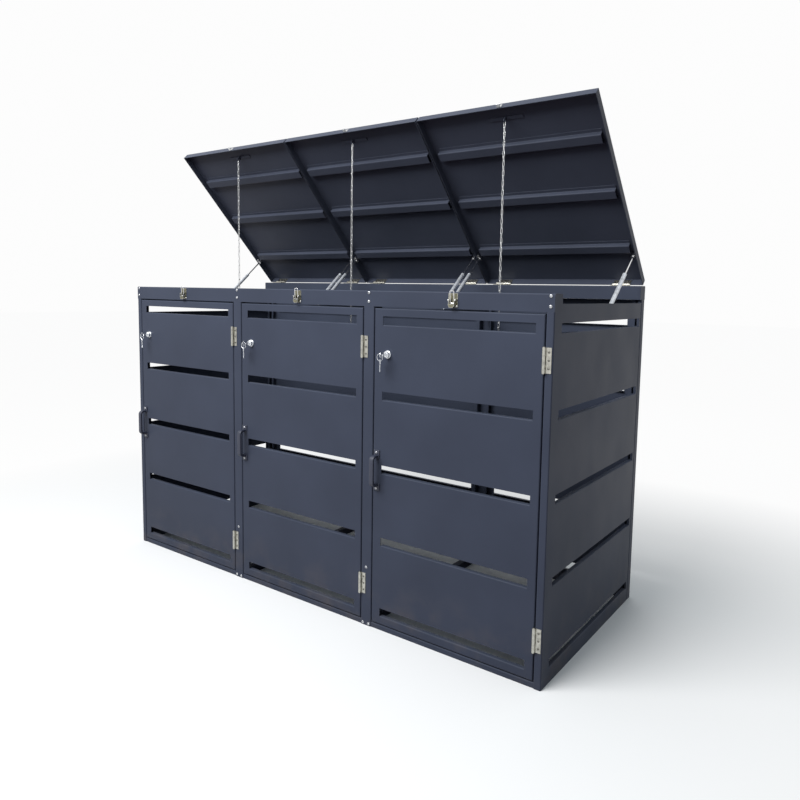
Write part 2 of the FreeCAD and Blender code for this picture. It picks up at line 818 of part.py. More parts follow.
def door_panel(label, bay):
    """A one-piece door: folded rims, five lipped slots and the hole for its lock."""
    body = new_body(label)
    tray(body, DOOR_WIDTH, "door_foot", DOOR_TOP, "door_depth")
    slotted(body, "slot_inset_left", f"{DOOR_WIDTH} - slot_inset_right")
    hole = new_sketch(body, "XZ_Plane", "1")
    add_circle(hole, "lock_inset", "lock_height", "lock_hole")
    cut(body, hole, "sheet_gauge + 2")
    place(body, f"{bay_edge(bay, -1)} + door_gap", FRONT)
    return node(body)


def handle(name):
    """A moulded bow handle on two flat feet."""
    body = new_body(name)
    back = "-handle_foot_gauge + 1"
    low, high = "handle_low + grip_inset", "handle_high - grip_inset"
    run = [(back, low), ("-handle_reach", low), ("-handle_reach", high), (back, high)]
    corners, arcs = folded(list(reversed(run)), "grip_gauge", "grip_bend")
    bow = add_loop(new_sketch(body, "YZ_Plane"), corners, arcs)
    pad(body, bow, "grip_width", "Symmetric")
    side = size("grip_width") / 2

    def rim(edge):
        box = edge.BoundBox
        on_side = box.XLength < EDGE_TOLERANCE and abs(abs(box.XMin) - side) < EDGE_TOLERANCE
        at_foot = box.YLength < EDGE_TOLERANCE and abs(box.YMax - size(back)) < EDGE_TOLERANCE
        return on_side and not at_foot

    bevel_edges(body, "grip_bevel", rim)
    for foot, far in (("handle_low", "handle_low + handle_foot"),
                      ("handle_high - handle_foot", "handle_high")):
        pads = new_sketch(body, "XZ_Plane")
        add_loop(pads, rectangle("-handle_width / 2", foot, "handle_width / 2", far))
        pad(body, pads, "handle_foot_gauge")
    return body


def dome(name, radius, rise):
    """A low dome-shaped bolt head that stands out along -Y."""
    body = new_body(name)
    corners = [("0", "0"), (radius, "0"), (radius, f"-{rise} / 3"), (f"0.6 * {radius}", f"-{rise}"),
               ("0", f"-{rise}")]
    turned(body, add_loop(new_sketch(body, "XY_Plane"), corners), "Y_Axis")
    return body


def lock_housing(name):
    """The rim, nose and barrel of a cam lock, bored for its plug; the door's face is Y = 0."""
    body = new_body(name)
    corners = [("plug_bore", "-lock_nose_height"), ("lock_nose - 2", "-lock_nose_height"),
               ("lock_nose", "-lock_nose_height + 2"), ("lock_nose", "-lock_rim_height"),
               ("lock_rim", "-lock_rim_height"), ("lock_rim", "0"), ("lock_barrel", "0"),
               ("lock_barrel", f"{CAM_DEPTH} - seat_gap"), ("plug_bore", f"{CAM_DEPTH} - seat_gap")]
    turned(body, add_loop(new_sketch(body, "XY_Plane"), corners), "Y_Axis")
    return body


def lock_nut(name):
    """The nut that holds the lock behind the door's sheet."""
    body = new_body(name)
    corners = [("lock_barrel + plug_bore - plug_radius", "sheet_gauge"), ("lock_nut", "sheet_gauge"),
               ("lock_nut", "sheet_gauge + lock_nut_height"),
               ("lock_barrel + plug_bore - plug_radius", "sheet_gauge + lock_nut_height")]
    turned(body, add_loop(new_sketch(body, "XY_Plane"), corners), "Y_Axis")
    return body


def lock_plug(name):
    """The turning plug with its keyway."""
    body = new_body(name)
    front = "(lock_nose_height + plug_proud)"
    outline = new_sketch(body, "XZ_Plane", front)
    add_circle(outline, "0", "0", "plug_radius")
    pad(body, outline, f"{front} + {CAM_DEPTH}", back=True)
    way = new_sketch(body, "XZ_Plane", f"{front} + 1")
    half_gauge = "(key_gauge / 2 + keyway_clearance)"
    half_height = "(key_blade_width / 2 + keyway_clearance)"
    add_loop(way, rectangle(f"-{half_gauge}", f"-{half_height}", half_gauge, half_height))
    cut(body, way, "key_entry + seat_gap + 1")
    return body


def lock_cam(name):
    """The cam: a bar with round ends that points down until the key turns it behind the post."""
    body = new_body(name)
    outline = new_sketch(body, "XZ_Plane", f"-{CAM_DEPTH}")
    corners, arcs = slot_loop("0", "-cam_length", "0", "cam_width / 2")
    pad(body, add_loop(outline, corners, arcs), "cam_gauge", back=True)
    screw = new_sketch(body, "XZ_Plane", f"-{CAM_DEPTH} - cam_gauge")
    add_circle(screw, "0", "0", "cam_screw")
    pad(body, screw, "cam_screw_height", back=True)
    return body


def key(name):
    """A flat key along Y with its row of cuts; its bow's hole is at the origin."""
    body = new_body(name)
    outline = new_sketch(body, "YZ_Plane")
    half = "key_blade_width / 2"
    tip = "key_bow + key_blade"
    profile = [("key_hole + 1", f"-{half}")]
    for number, share in enumerate(KEY_CUTS):
        start = f"key_bow + key_shoulder + {number} * key_cut_pitch"
        profile.append((start, f"-{half}"))
        profile.append((f"{start} + key_cut_pitch / 2", f"{share} * key_cut_depth - {half}"))
    profile += [(f"{tip} - {half}", f"-{half}"), (tip, "0"), (f"{tip} - {half}", half),
                ("key_hole + 1", half)]
    add_loop(outline, profile)
    pad(body, outline, "key_gauge", "Symmetric")
    bow = new_sketch(body, "YZ_Plane")
    add_circle(bow, "0", "0", "key_bow")
    pad(body, bow, "key_gauge", "Symmetric")
    hole = new_sketch(body, "YZ_Plane")
    add_circle(hole, "0", "0", "key_hole")
    cut(body, hole, "2 * key_gauge", kind="Symmetric")
    return body


def key_ring(name):
    """A wire ring in the XZ plane about the origin."""
    body = new_body(name)
    section = add_loop(new_sketch(body, "XY_Plane"), octagon("ring_radius", "0", "ring_wire"))
    turned(body, section, "Y_Axis")
    return body


# Lids, in the frame of the hinge axis.

def lid_panel(label, bay):
    """A lid: one folded tray, its skin up and its rims down."""
    body = new_body(label)
    tray(body, LID_WIDTH, f"-{LID_FRONT}", HINGE_AHEAD, "lid_rim")
    lying = Rotation(X_AXIS, -90)
    on_lid(body, bay, f"-{LID_WIDTH} / 2", "0", HINGE_DROP, lying)
    return node(body)


def rib(name):
    """A hat-section stiffener across the lid; its feet meet the skin at Z = 0."""
    body = new_body(name)
    half = "rib_width / 2"
    run = [(f"-({half} + rib_foot)", "-sheet_gauge"), (f"-{half}", "-sheet_gauge"),
           (f"-{half}", "-rib_depth"), (half, "-rib_depth"), (half, "-sheet_gauge"),
           (f"({half} + rib_foot)", "-sheet_gauge")]
    corners, arcs = folded(run)
    outline = add_loop(new_sketch(body, "YZ_Plane"), corners, arcs)
    pad(body, outline, f"{LID_WIDTH} - 2 * rib_inset", "Symmetric")
    return body


def ball_stud(name, reach):
    """A ball at the origin on a stud along +X, with its plate at the far end."""
    body = new_body(name)
    neck = "sqrt(ball_radius * ball_radius - stud_radius * stud_radius)"
    corners = [("-ball_radius", "0"), (neck, "stud_radius"), (reach, "stud_radius"), (reach, "0")]
    turned(body, add_loop(new_sketch(body, "XY_Plane"), corners, {0: ("ball_radius", -1)}), "X_Axis")
    plate = new_sketch(body, "YZ_Plane", reach)
    half, rise = "stud_plate / 2", "stud_plate_height / 2"
    add_loop(plate, rectangle(f"-{half}", f"-{rise}", half, rise))
    pad(body, plate, "stud_plate_gauge")
    return body


def chain_bar(name):
    """The flat bar under the lid's front with the eye that carries the chain; the skin is Z = 0."""
    body = new_body(name)
    flat = new_sketch(body, "XY_Plane", "-bar_gauge")
    half, side = "bar_length / 2", "bar_width / 2"
    add_loop(flat, rectangle(f"-{half}", f"-{side}", half, side))
    pad(body, flat, "bar_gauge")
    eye = new_sketch(body, "YZ_Plane")
    corners = [("eye_radius", "-bar_gauge / 2"), ("-eye_radius", "-bar_gauge / 2"),
               ("-eye_radius", "-eye_drop"), ("0", "-eye_drop - eye_radius"), ("eye_radius", "-eye_drop")]
    add_loop(eye, corners, {2: ("eye_radius", 1), 3: ("eye_radius", 1)})
    pad(body, eye, "bar_gauge", "Symmetric")
    hole = new_sketch(body, "YZ_Plane")
    add_circle(hole, "0", "-eye_drop", "eye_hole")
    cut(body, hole, "2 * bar_gauge", kind="Symmetric")
    return body


def keeper(name):
    """The hook on the lid's front rim that the catch's loop pulls down; the rim's foot is the origin."""
    body = new_body(name)
    run = [("0", "keeper_height"), ("0", "keeper_lift"), ("-keeper_reach", "keeper_lift"),
           ("-keeper_reach", "keeper_lift + keeper_tip")]
    corners, arcs = folded(list(reversed(run)), "keeper_gauge", "keeper_bend")
    outline = add_loop(new_sketch(body, "YZ_Plane"), corners, arcs)
    pad(body, outline, "keeper_width", "Symmetric")
    return body


def chain_link(name):
    """One long link with bevelled ends, upright in the XZ plane."""
    body = new_body(name)
    outline = new_sketch(body, "XZ_Plane")
    hole = ("(link_width / 2 - link_wire)", "(link_length / 2 - link_wire)", "link_wire / 2")
    for wide, tall, bevel in (("link_width / 2", "link_length / 2", "link_wire"), hole):
        corners = [(wide, f"-({tall} - {bevel})"), (wide, f"{tall} - {bevel}"),
                   (f"{wide} - {bevel}", tall), (f"{bevel} - {wide}", tall),
                   (f"-{wide}", f"{tall} - {bevel}"), (f"-{wide}", f"-({tall} - {bevel})"),
                   (f"{bevel} - {wide}", f"-({tall})"), (f"{wide} - {bevel}", f"-({tall})")]
        add_loop(outline, corners)
    pad(body, outline, "link_wire", "Symmetric")
    return body


# Gas struts: the rod hangs from the lid's ball, the tube slides on it.

def strut_rod(name):
    """A ball socket with the polished rod below it; the strut runs along -Y from the ball."""
    body = new_body(name)
    socket = new_sketch(body, "XZ_Plane", "-socket_radius")
    add_circle(socket, "0", "0", "socket_radius")
    pad(body, socket, "socket_length")
    rod = new_sketch(body, "XZ_Plane", "socket_length - socket_radius")
    add_circle(rod, "0", "0", "rod_radius")
    pad(body, rod, "rod_length")
    mouth = new_sketch(body, "YZ_Plane")
    add_circle(mouth, "0", "0", "socket_mouth")
    cut(body, mouth, "2 * socket_radius", back=True)
    hollow = new_sketch(body, "XY_Plane")
    reach = "(ball_radius + ball_clearance)"
    corners = [(f"-{reach}", "0"), ("0", reach), (reach, "0")]
    add_loop(hollow, corners, {0: (reach, -1), 1: (reach, -1)})
    before = body.Shape.Volume
    groove = body.newObject("PartDesign::Groove", "hollow")
    groove.Profile = hollow
    groove.ReferenceAxis = (plane(body, "X_Axis"), [""])
    groove.Angle = 360.0
    doc.recompute()
    if not body.Shape.Volume < before:
        raise RuntimeError(f"{body.Label}: the ball's hollow cuts nothing")
    return body


def strut_tube(name, reach):
    """The strut's tube from its lower ball stud upwards along +Y; the stud stands out along +X."""
    body = new_body(name)
    socket = new_sketch(body, "XZ_Plane", "socket_radius")
    add_circle(socket, "0", "0", "socket_radius")
    pad(body, socket, "socket_radius + tube_foot + 1", back=True)
    tube = new_sketch(body, "XZ_Plane", "-tube_foot")
    add_circle(tube, "0", "0", "tube_radius")
    pad(body, tube, "tube_length", back=True)
    bore = new_sketch(body, "XZ_Plane", "-tube_foot - tube_length")
    add_circle(bore, "0", "0", "rod_radius + rod_clearance")
    cut(body, bore, "tube_bore_length", back=True)
    stud = new_sketch(body, "YZ_Plane")
    add_circle(stud, "0", "0", "stud_radius")
    pad(body, stud, f"({reach}) - seat_gap")
    flange = new_sketch(body, "YZ_Plane", f"({reach}) - seat_gap - stud_flange_gauge")
    add_circle(flange, "0", "0", "stud_flange")
    pad(body, flange, "stud_flange_gauge")
    return body


def tie_bracket(name):
    """The upright plate on a high tie between the feet of two struts; the tie's top is Z = 0."""
    body = new_body(name)
    outline = new_sketch(body, "YZ_Plane")
    rise = f"({SIDE_TOP} - strut_foot_drop - {HIGH_TIE_TOP})"
    corners = [("-bracket_length / 2", "0"), ("bracket_length / 2", "0"), ("bracket_foot / 2", f"{rise}"),
               ("0", f"{rise} + bracket_foot / 2"), ("-bracket_foot / 2", f"{rise}")]
    add_loop(outline, corners, {2: ("bracket_foot / 2", 1), 3: ("bracket_foot / 2", 1)})
    pad(body, outline, "bracket_gauge", "Symmetric")
    return body


def wall_bracket(name):
    """The plate on a side wall at a strut's foot, in the YZ plane."""
    body = new_body(name)
    outline = new_sketch(body, "YZ_Plane")
    half, rise = "stud_plate / 2", "stud_plate_height / 2"
    add_loop(outline, rectangle(f"-{half}", f"-{rise}", half, rise))
    pad(body, outline, "stud_plate_gauge")
    return body


# Lid catches on the front rail: base, lever and wire loop.

def catch_base(name):
    """The base plate, two ears and their riveted pins on the local X axis; the rail's face is at +Y."""
    body = new_body(name)
    plate = new_sketch(body, "XZ_Plane", "-catch_axis_out")
    half = "catch_plate_width / 2"
    top = "(catch_axis_drop - catch_plate_drop)"
    add_loop(plate, rectangle(f"-{half}", f"{top} - catch_plate_height", half, top))
    pad(body, plate, "catch_gauge")
    for hand in HANDS:
        ear = new_sketch(body, "YZ_Plane", f"{hand} * (catch_ear_half - catch_gauge / 2)")
        reach = "catch_ear_round"
        corners = [("catch_axis_out - catch_gauge / 2", f"-{reach} * 1.5"),
                   ("catch_axis_out - catch_gauge / 2", f"{reach} * 1.5"), ("0", reach),
                   (f"-{reach}", "0"), ("0", f"-{reach}")]
        add_loop(ear, corners, {2: (reach, 1), 3: (reach, 1)})
        pad(body, ear, "catch_gauge", "Symmetric")
        pin = new_sketch(body, "YZ_Plane", f"{hand} * catch_pin_end")
        add_circle(pin, "0", "0", "catch_pin")
        pad(body, pin, "catch_ear_half - catch_pin_end", back=hand < 0)
        head = new_sketch(body, "YZ_Plane", f"{hand} * catch_ear_half")
        add_circle(head, "0", "0", "catch_pin_head")
        pad(body, head, "catch_gauge", back=hand < 0)
    return body


def catch_lever(name):
    """The folded lever: two cheeks, a front plate and the tab that a finger lifts."""
    body = new_body(name)
    plate = new_sketch(body, "XZ_Plane", "lever_round")
    wide, slim = "lever_half", "lever_tab_half"
    low = "-(lever_length - lever_tab)"
    corners = [(f"-{wide}", low), (f"-{slim}", "-lever_length"), (slim, "-lever_length"), (wide, low),
               (wide, "-lever_plate_drop"), (f"-{wide}", "-lever_plate_drop")]
    add_loop(plate, corners)
    pad(body, plate, "catch_gauge")
    for hand in HANDS:
        cheek = new_sketch(body, "YZ_Plane", f"{hand} * (lever_half - catch_gauge / 2)")
        reach = "lever_round"
        deep = "(loop_in + lever_round)"
        corners = [(f"-{reach} - catch_gauge / 2", low), ("0", low), (deep, "-loop_drop - lever_round"),
                   (deep, "-loop_drop"), (reach, "0"), ("0", reach), (f"-{reach} - catch_gauge / 2", "0")]
        add_loop(cheek, corners, {4: (reach, 1)})
        pad(body, cheek, "catch_gauge", "Symmetric")
    for across, up in (("0", "0"), ("loop_in", "-loop_drop")):
        bore = new_sketch(body, "YZ_Plane")
        radius = "catch_pin" if across == "0" else "loop_bar"
        add_circle(bore, across, up, f"{radius} + catch_clearance")
        cut(body, bore, "4 * lever_half", kind="Symmetric")
    return body


def catch_loop(name):
    """The wire loop: a pivot bar along X at the origin and a bent bail above it."""
    body = new_body(name)
    path = new_sketch(body, "XZ_Plane")
    side, top, bend = "loop_half", "loop_rise", "loop_bend"
    corners = [(f"-{side}", "0"), (f"-{side}", f"{top} - {bend}"), (f"{bend} - {side}", top),
               (f"{side} - {bend}", top), (side, f"{top} - {bend}"), (side, "0")]
    add_loop(path, corners, {1: (bend, -1), 3: (bend, -1)}, closed=False)
    section = add_loop(new_sketch(body, "XY_Plane"), octagon(f"-{side}", "0", "loop_wire"))
    doc.recompute()
    bail = body.newObject("PartDesign::AdditivePipe", "bail")
    bail.Profile = section
    bail.Spine = (path, [f"Edge{number}" for number in range(1, len(corners))])
    doc.recompute()
    pivot = new_sketch(body, "YZ_Plane")
    add_circle(pivot, "0", "0", "loop_bar")
    pad(body, pivot, "2 * (lever_half - seat_gap)", "Symmetric")
    return body


# Frame: walls, posts, rails, sills and ties.

side_panel("left_side_panel", -1)
side_panel("right_side_panel", 1)
for bay, word in zip(BAYS, ("left", "middle", "right")):
    back_panel(f"back_panel_{word}", bay)
rail("front_top_rail", "rail_depth", "rail_height", False)
rail("back_top_rail", "back_rail_depth", "back_rail_height", True)

front_post = divider_post("front_post_form", RAIL_FOOT)
back_post = divider_post("back_post_form", BACK_FOOT)
half_turn = Rotation(Z_AXIS, 180)
DIVIDER = f"({BAY_PITCH} / 2)"
posts = []
for hand in HANDS:
    posts.append(copy_of(front_post, f"{hand} * {DIVIDER}", FRONT))
    posts.append(copy_of(back_post, f"{hand} * {DIVIDER}", BACK, "0", half_turn))
    corner = back_corner_post(f"back_corner_form_{hand + 2}", hand)
    posts.append(copy_of(corner, f"{hand} * {HALF_WIDTH}", BACK))
group("frame_posts", posts)

sill_form = sill("sill_form")
group("sills", [copy_of(sill_form, "0", FRONT), copy_of(sill_form, "0", BACK, "0", half_turn)])

low_form = low_tie("low_tie_form")
high_form = high_tie("high_tie_form")
front_splice = corner_splice("front_splice_form", "front_height")
back_splice = corner_splice("back_splice_form", BACK_TOP)
ties = []
splice_y = "(store_depth / 2 - sheet_gauge - seat_gap)"
splice_foot = f"{HIGH_TIE_TOP} - high_tie_height"
for hand in HANDS:
    ties.append(copy_of(low_form, f"{hand} * {DIVIDER}", MIDDLE))
    ties.append(copy_of(high_form, f"{hand} * {DIVIDER}", MIDDLE, HIGH_TIE_TOP))
    across = f"{hand} * ({HALF_WIDTH} - corner_width / 2)"
    ties.append(copy_of(front_splice, across, f"{MIDDLE} - {splice_y}", splice_foot))
    ties.append(copy_of(back_splice, across, f"{MIDDLE} + {splice_y}", splice_foot, half_turn))
group("frame_ties", ties)

bolt = dome("bolt_form", "bolt_head", "bolt_rise")
bolts = []
for hand in HANDS:
    for across in (f"{hand} * {DIVIDER}", f"{hand} * ({HALF_WIDTH} - corner_width / 2)"):
        for drop in ("rail_bolt_high", "rail_bolt_low"):
            bolts.append(copy_of(bolt, across, FRONT, f"front_height - {drop}"))
    bolts.append(copy_of(bolt, f"{hand} * {DIVIDER}", FRONT, "post_bolt_height"))
    for side in HANDS:
        across = f"{hand} * {DIVIDER} + {side} * foot_bolt_offset"
        bolts.append(copy_of(bolt, across, FRONT, "foot_bolt_height"))
group("frame_bolts", bolts)

# Hinges of the doors and lids.

post_leaf = fixed_leaf("post_leaf_form", "door_hinge_length", "post_leaf_reach",
                       f"{AXIS_OUT} - hinge_leaf")
door_leaf = turning_leaf("door_leaf_form", "door_hinge_length", "door_leaf_reach",
                         "door_gap / 2 - hinge_leaf")
DOOR_AXIS_Y = f"({FRONT} - {AXIS_OUT})"
door_hinge_feet = [f"{height} - door_hinge_length / 2" for height in ("door_hinge_low", "door_hinge_high")]
post_leaves = []
for bay in BAYS:
    pin_x = f"{bay_edge(bay, 1)} - door_gap / 2"
    for foot in door_hinge_feet:
        post_leaves.append(copy_of(post_leaf, pin_x, DOOR_AXIS_Y, foot))
group("door_hinge_post_leaves", post_leaves)

rail_leaf = fixed_leaf("rail_leaf_form", "lid_hinge_length", "rail_leaf_reach",
                       f"{AXIS_OUT} - hinge_leaf")
lid_leaf = turning_leaf("lid_leaf_form", "lid_hinge_length", "lid_leaf_reach",
                        f"{HINGE_AHEAD} - sheet_gauge - hinge_leaf")
along_rail = turned_frame(Vector(0, -1, 0), Vector(0, 0, -1), X_AXIS)
up_rim = turned_frame(Z_AXIS, Y_AXIS, Vector(-1, 0, 0))
LID_HINGE_X = f"({LID_WIDTH} / 2 - lid_hinge_inset)"
rail_leaves = []
for bay in BAYS:
    for hand in HANDS:
        spot = f"{bay_centre(bay)} + {hand} * {LID_HINGE_X} - lid_hinge_length / 2"
        rail_leaves.append(copy_of(rail_leaf, spot, LID_AXIS_Y, LID_AXIS_Z, along_rail))
group("lid_hinge_rail_leaves", rail_leaves)

# Struts' feet on the side walls and the high ties.

FOOT_Y = f"({LID_AXIS_Y} - strut_foot_ahead)"
FOOT_Z = f"({SIDE_TOP} - strut_foot_drop)"
wall_plate = wall_bracket("wall_bracket_form")
tie_plate = tie_bracket("tie_bracket_form")
brackets = []
for hand in HANDS:
    turn = half_turn if hand < 0 else None
    wall_x = f"{hand} * ({HALF_WIDTH} - sheet_gauge - stud_plate_gauge)"
    brackets.append(copy_of(wall_plate, wall_x, FOOT_Y, FOOT_Z, turn))
    brackets.append(copy_of(tie_plate, f"{hand} * {DIVIDER}", FOOT_Y, HIGH_TIE_TOP))
group("strut_frame_brackets", brackets)

# Lid catches on the front rail.

base_form = catch_base("catch_base_form")
rivet = dome("rivet_form", "small_bolt_head", "small_bolt_rise")
CATCH_AXIS_Y = f"({FRONT} - catch_axis_out)"
bases = []
for bay in BAYS:
    middle = bay_centre(bay)
    bases.append(copy_of(base_form, middle, CATCH_AXIS_Y, CATCH_AXIS_Z))
    plate_top = "(front_height - catch_plate_drop)"
    bases.append(copy_of(rivet, middle, f"{FRONT} - catch_gauge", f"{plate_top} - catch_rivet_inset"))
group("catch_bases", bases)
for number, bay in enumerate(BAYS, start=1):
    middle = bay_centre(bay)
    lever = catch_lever(f"catch_lever_{number}")
    node(place(lever, middle, CATCH_AXIS_Y, CATCH_AXIS_Z))
    loop = catch_loop(f"catch_loop_{number}")
    lean = Rotation(X_AXIS, size("loop_lean"))
    node(place(loop, middle, f"{CATCH_AXIS_Y} + loop_in", f"{CATCH_AXIS_Z} - loop_drop", lean))

# Doors with their handles, locks and keys.

handle_form = handle("handle_form")
housing_form = lock_housing("lock_housing_form")
nut_form = lock_nut("lock_nut_form")
plug_form = lock_plug("lock_plug_form")
cam_form = lock_cam("lock_cam_form")
key_form = key("key_form")
ring_form = key_ring("key_ring_form")
across_door = turned_frame(Y_AXIS, Vector(-1, 0, 0), Z_AXIS)
for number, bay in enumerate(BAYS, start=1):
    door_panel(f"door_{number}_panel", bay)
    left = f"{bay_edge(bay, -1)} + door_gap"
    pin_x = f"{bay_edge(bay, 1)} - door_gap / 2"
    leaves = [copy_of(door_leaf, pin_x, DOOR_AXIS_Y, foot, across_door) for foot in door_hinge_feet]
    group(f"door_{number}_hinge_leaves", leaves)
    grip_x = f"{left} + handle_inset"
    pieces = [copy_of(handle_form, grip_x, FRONT)]
    for height in ("handle_low + handle_bolt_inset", "handle_high - handle_bolt_inset"):
        pieces.append(copy_of(rivet, grip_x, f"{FRONT} - handle_foot_gauge", height))
    group(f"door_{number}_handle", pieces)
    lock_x = f"{left} + lock_inset"
    group(f"door_{number}_lock", [copy_of(form, lock_x, FRONT, "lock_height")
                                  for form in (housing_form, nut_form)])
    bow_out = "lock_nose_height + plug_proud - key_entry + key_bow + key_blade"
    bow_y = f"{FRONT} - ({bow_out})"
    turning = [copy_of(form, lock_x, FRONT, "lock_height") for form in (plug_form, cam_form)]
    turning.append(copy_of(key_form, lock_x, bow_y, "lock_height"))
    group(f"door_{number}_key", turning)
    ring_x = f"{lock_x} - ring_radius * sqrt(0.5)"
    ring_z = "lock_height - ring_radius * sqrt(0.5)"
    hanging = Rotation(Z_AXIS, 45).multiply(Rotation(X_AXIS, -90))
    spare_z = f"{ring_z} - ring_radius - (key_hole - ring_wire - seat_gap)"
    group(f"door_{number}_key_ring", [copy_of(ring_form, ring_x, bow_y, ring_z),
                                      copy_of(key_form, ring_x, bow_y, spare_z, hanging)])

# Lids with their ribs, hinges, fittings and chains.

rib_form = rib("rib_form")
stud_reach = f"{LID_WIDTH} / 2 - sheet_gauge - stud_plate_gauge - {STRUT_OFFSET}"
stud_form = ball_stud("ball_stud_form", stud_reach)
bar_form = chain_bar("chain_bar_form")
keeper_form = keeper("keeper_form")
link_form = chain_link("chain_link_form")
rod_form = strut_rod("strut_rod_form")
wall_reach = f"{HALF_WIDTH} - sheet_gauge - stud_plate_gauge - {BAY_PITCH} - {STRUT_OFFSET}"
tie_reach = f"{DIVIDER} - {STRUT_OFFSET} - bracket_gauge / 2"
wall_tube = strut_tube("wall_tube_form", wall_reach)
tie_tube = strut_tube("tie_tube_form", tie_reach)


def lid_spot(along, up):
    """Where a point of the open lids' frame lies: its Y and Z in the store."""
    slope = "lid_open_slope"
    return (f"{LID_AXIS_Y} + cos({slope}) * ({along}) + sin({slope}) * ({up})",
            f"{LID_AXIS_Z} - sin({slope}) * ({along}) + cos({slope}) * ({up})")


def lid_copy(form, bay, across, along, up, rotation=None):
    """A placed copy on an open lid."""
    link = doc.addObject("App::Link", "copy")
    link.LinkedObject = form
    return on_lid(link, bay, across, along, up, rotation)


stud_y, stud_z = lid_spot(STUD_Y, STUD_Z)
eye_y, eye_z = lid_spot(EYE_Y, EYE_Z)
rise = size(stud_z) - size(FOOT_Z)
run_back = size(stud_y) - size(FOOT_Y)
strut_slope = math.degrees(math.atan2(rise, run_back))
strut_turn = Rotation(X_AXIS, strut_slope)
mirrored_strut = strut_turn.multiply(Rotation(Y_AXIS, 180))
print("strut length", round(math.hypot(rise, run_back), 2), "slope", round(strut_slope, 3))
link_top = "seat_gap + link_wire - sqrt(eye_hole * eye_hole - link_wire * link_wire / 4)"
link_step = "(link_length - 2 * link_wire - link_slack)"
for number, bay in enumerate(BAYS, start=1):
    lid_panel(f"lid_{number}_panel", bay)
    under_skin = f"{HINGE_DROP} - sheet_gauge"
    ribs = [lid_copy(rib_form, bay, "0", f"{HINGE_AHEAD} - {spot}", under_skin)
            for spot in ("rib_back", "rib_middle", f"({LID_LENGTH} - rib_front)")]
    ribs.append(lid_copy(bar_form, bay, "0", EYE_Y, under_skin))
    group(f"lid_{number}_ribs", ribs)
    leaves = [lid_copy(lid_leaf, bay, f"{hand} * {LID_HINGE_X} + lid_hinge_length / 2", "0", "0", up_rim)
              for hand in HANDS]
    group(f"lid_{number}_hinge_leaves", leaves)
    fittings = [lid_copy(stud_form, bay, STRUT_OFFSET, STUD_Y, STUD_Z),
                lid_copy(stud_form, bay, f"-{STRUT_OFFSET}", STUD_Y, STUD_Z, half_turn),
                lid_copy(keeper_form, bay, "0", f"-{LID_FRONT}", f"{HINGE_DROP} - lid_rim")]
    group(f"lid_{number}_fittings", fittings)
    links = []
    for count in range(int(size("link_count"))):
        twist = Rotation(Z_AXIS, 90 * (count % 2))
        height = f"{link_top} - link_length / 2 - {count} * {link_step}"
        links.append(copy_of(link_form, "0", "0", height, twist))
    place(group(f"lid_{number}_chain", links), bay_centre(bay), eye_y, eye_z)
    rods = []
    tubes = []
    for hand in HANDS:
        across = f"{bay_centre(bay)} + {hand} * {STRUT_OFFSET}"
        turn = strut_turn if hand > 0 else mirrored_strut
        rods.append(copy_of(rod_form, across, stud_y, stud_z, turn))
        tube_form = wall_tube if bay * hand > 0 else tie_tube
        tubes.append(copy_of(tube_form, across, FOOT_Y, FOOT_Z, turn))
    group(f"strut_{number}_rods", rods)
    group(f"strut_{number}_tubes", tubes)

doc.recompute()
for thing in doc.Objects:
    if "Invalid" in thing.State or "Error" in thing.State:
        raise RuntimeError(f"{thing.Label}: {thing.State}")
for thing in nodes:
    shape = thing.Shape
    if shape.isNull() or not shape.isValid():
        raise RuntimeError(f"{thing.Label}: no valid shape")
    shape.exportStep(f"parts/{thing.Label}.step")
print(len(nodes), "sub-parts written")
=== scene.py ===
import json
import math

import bmesh
import bpy
from mathutils import Euler, Matrix, Vector


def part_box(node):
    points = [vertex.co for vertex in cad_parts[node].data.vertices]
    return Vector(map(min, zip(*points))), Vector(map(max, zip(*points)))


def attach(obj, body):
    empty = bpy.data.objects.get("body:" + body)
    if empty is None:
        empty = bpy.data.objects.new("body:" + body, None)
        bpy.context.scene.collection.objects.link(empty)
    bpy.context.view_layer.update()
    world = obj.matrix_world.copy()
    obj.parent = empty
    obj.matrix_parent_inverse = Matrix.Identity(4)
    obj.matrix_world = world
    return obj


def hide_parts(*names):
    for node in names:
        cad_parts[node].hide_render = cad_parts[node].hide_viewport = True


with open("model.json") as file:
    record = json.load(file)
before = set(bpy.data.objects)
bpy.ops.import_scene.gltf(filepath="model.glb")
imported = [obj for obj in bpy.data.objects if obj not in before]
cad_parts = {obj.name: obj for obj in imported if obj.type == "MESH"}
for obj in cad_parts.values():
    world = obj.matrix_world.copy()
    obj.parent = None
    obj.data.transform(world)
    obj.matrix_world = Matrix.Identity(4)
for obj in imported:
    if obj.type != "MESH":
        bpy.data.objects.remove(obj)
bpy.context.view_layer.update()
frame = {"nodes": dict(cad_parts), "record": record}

# The store's own measures, in metres, read from the frame where a node gives them.
POST_LOW, POST_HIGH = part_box("frame_posts")
FRONT_Y = POST_LOW.y
BACK_Y = POST_HIGH.y
MIDDLE_Y = (FRONT_Y + BACK_Y) / 2
HALF_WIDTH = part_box("front_top_rail")[1].x
BACK_RAIL_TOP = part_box("back_top_rail")[1].z
LIDS = (1, 2, 3)
JOINTS = {joint["name"]: joint for joint in frame["record"]["behaviour"]["joints"]}
LID_AXIS = Vector(JOINTS["lid_2_lift"]["pos_m"])
BAY_PITCH = JOINTS["lid_3_lift"]["pos_m"][0]
LID_SLOPE = math.radians(46.1)
LID_TURN = Matrix.Rotation(-LID_SLOPE, 4, "X")


def srgb(red, green, blue):
    """A display colour, 0 to 255, as the linear colour that a shader takes."""
    def straight(value):
        value = value / 255
        return value / 12.92 if value <= 0.04045 else ((value + 0.055) / 1.055) ** 2.4
    return (straight(red), straight(green), straight(blue), 1.0)


# Finishes.

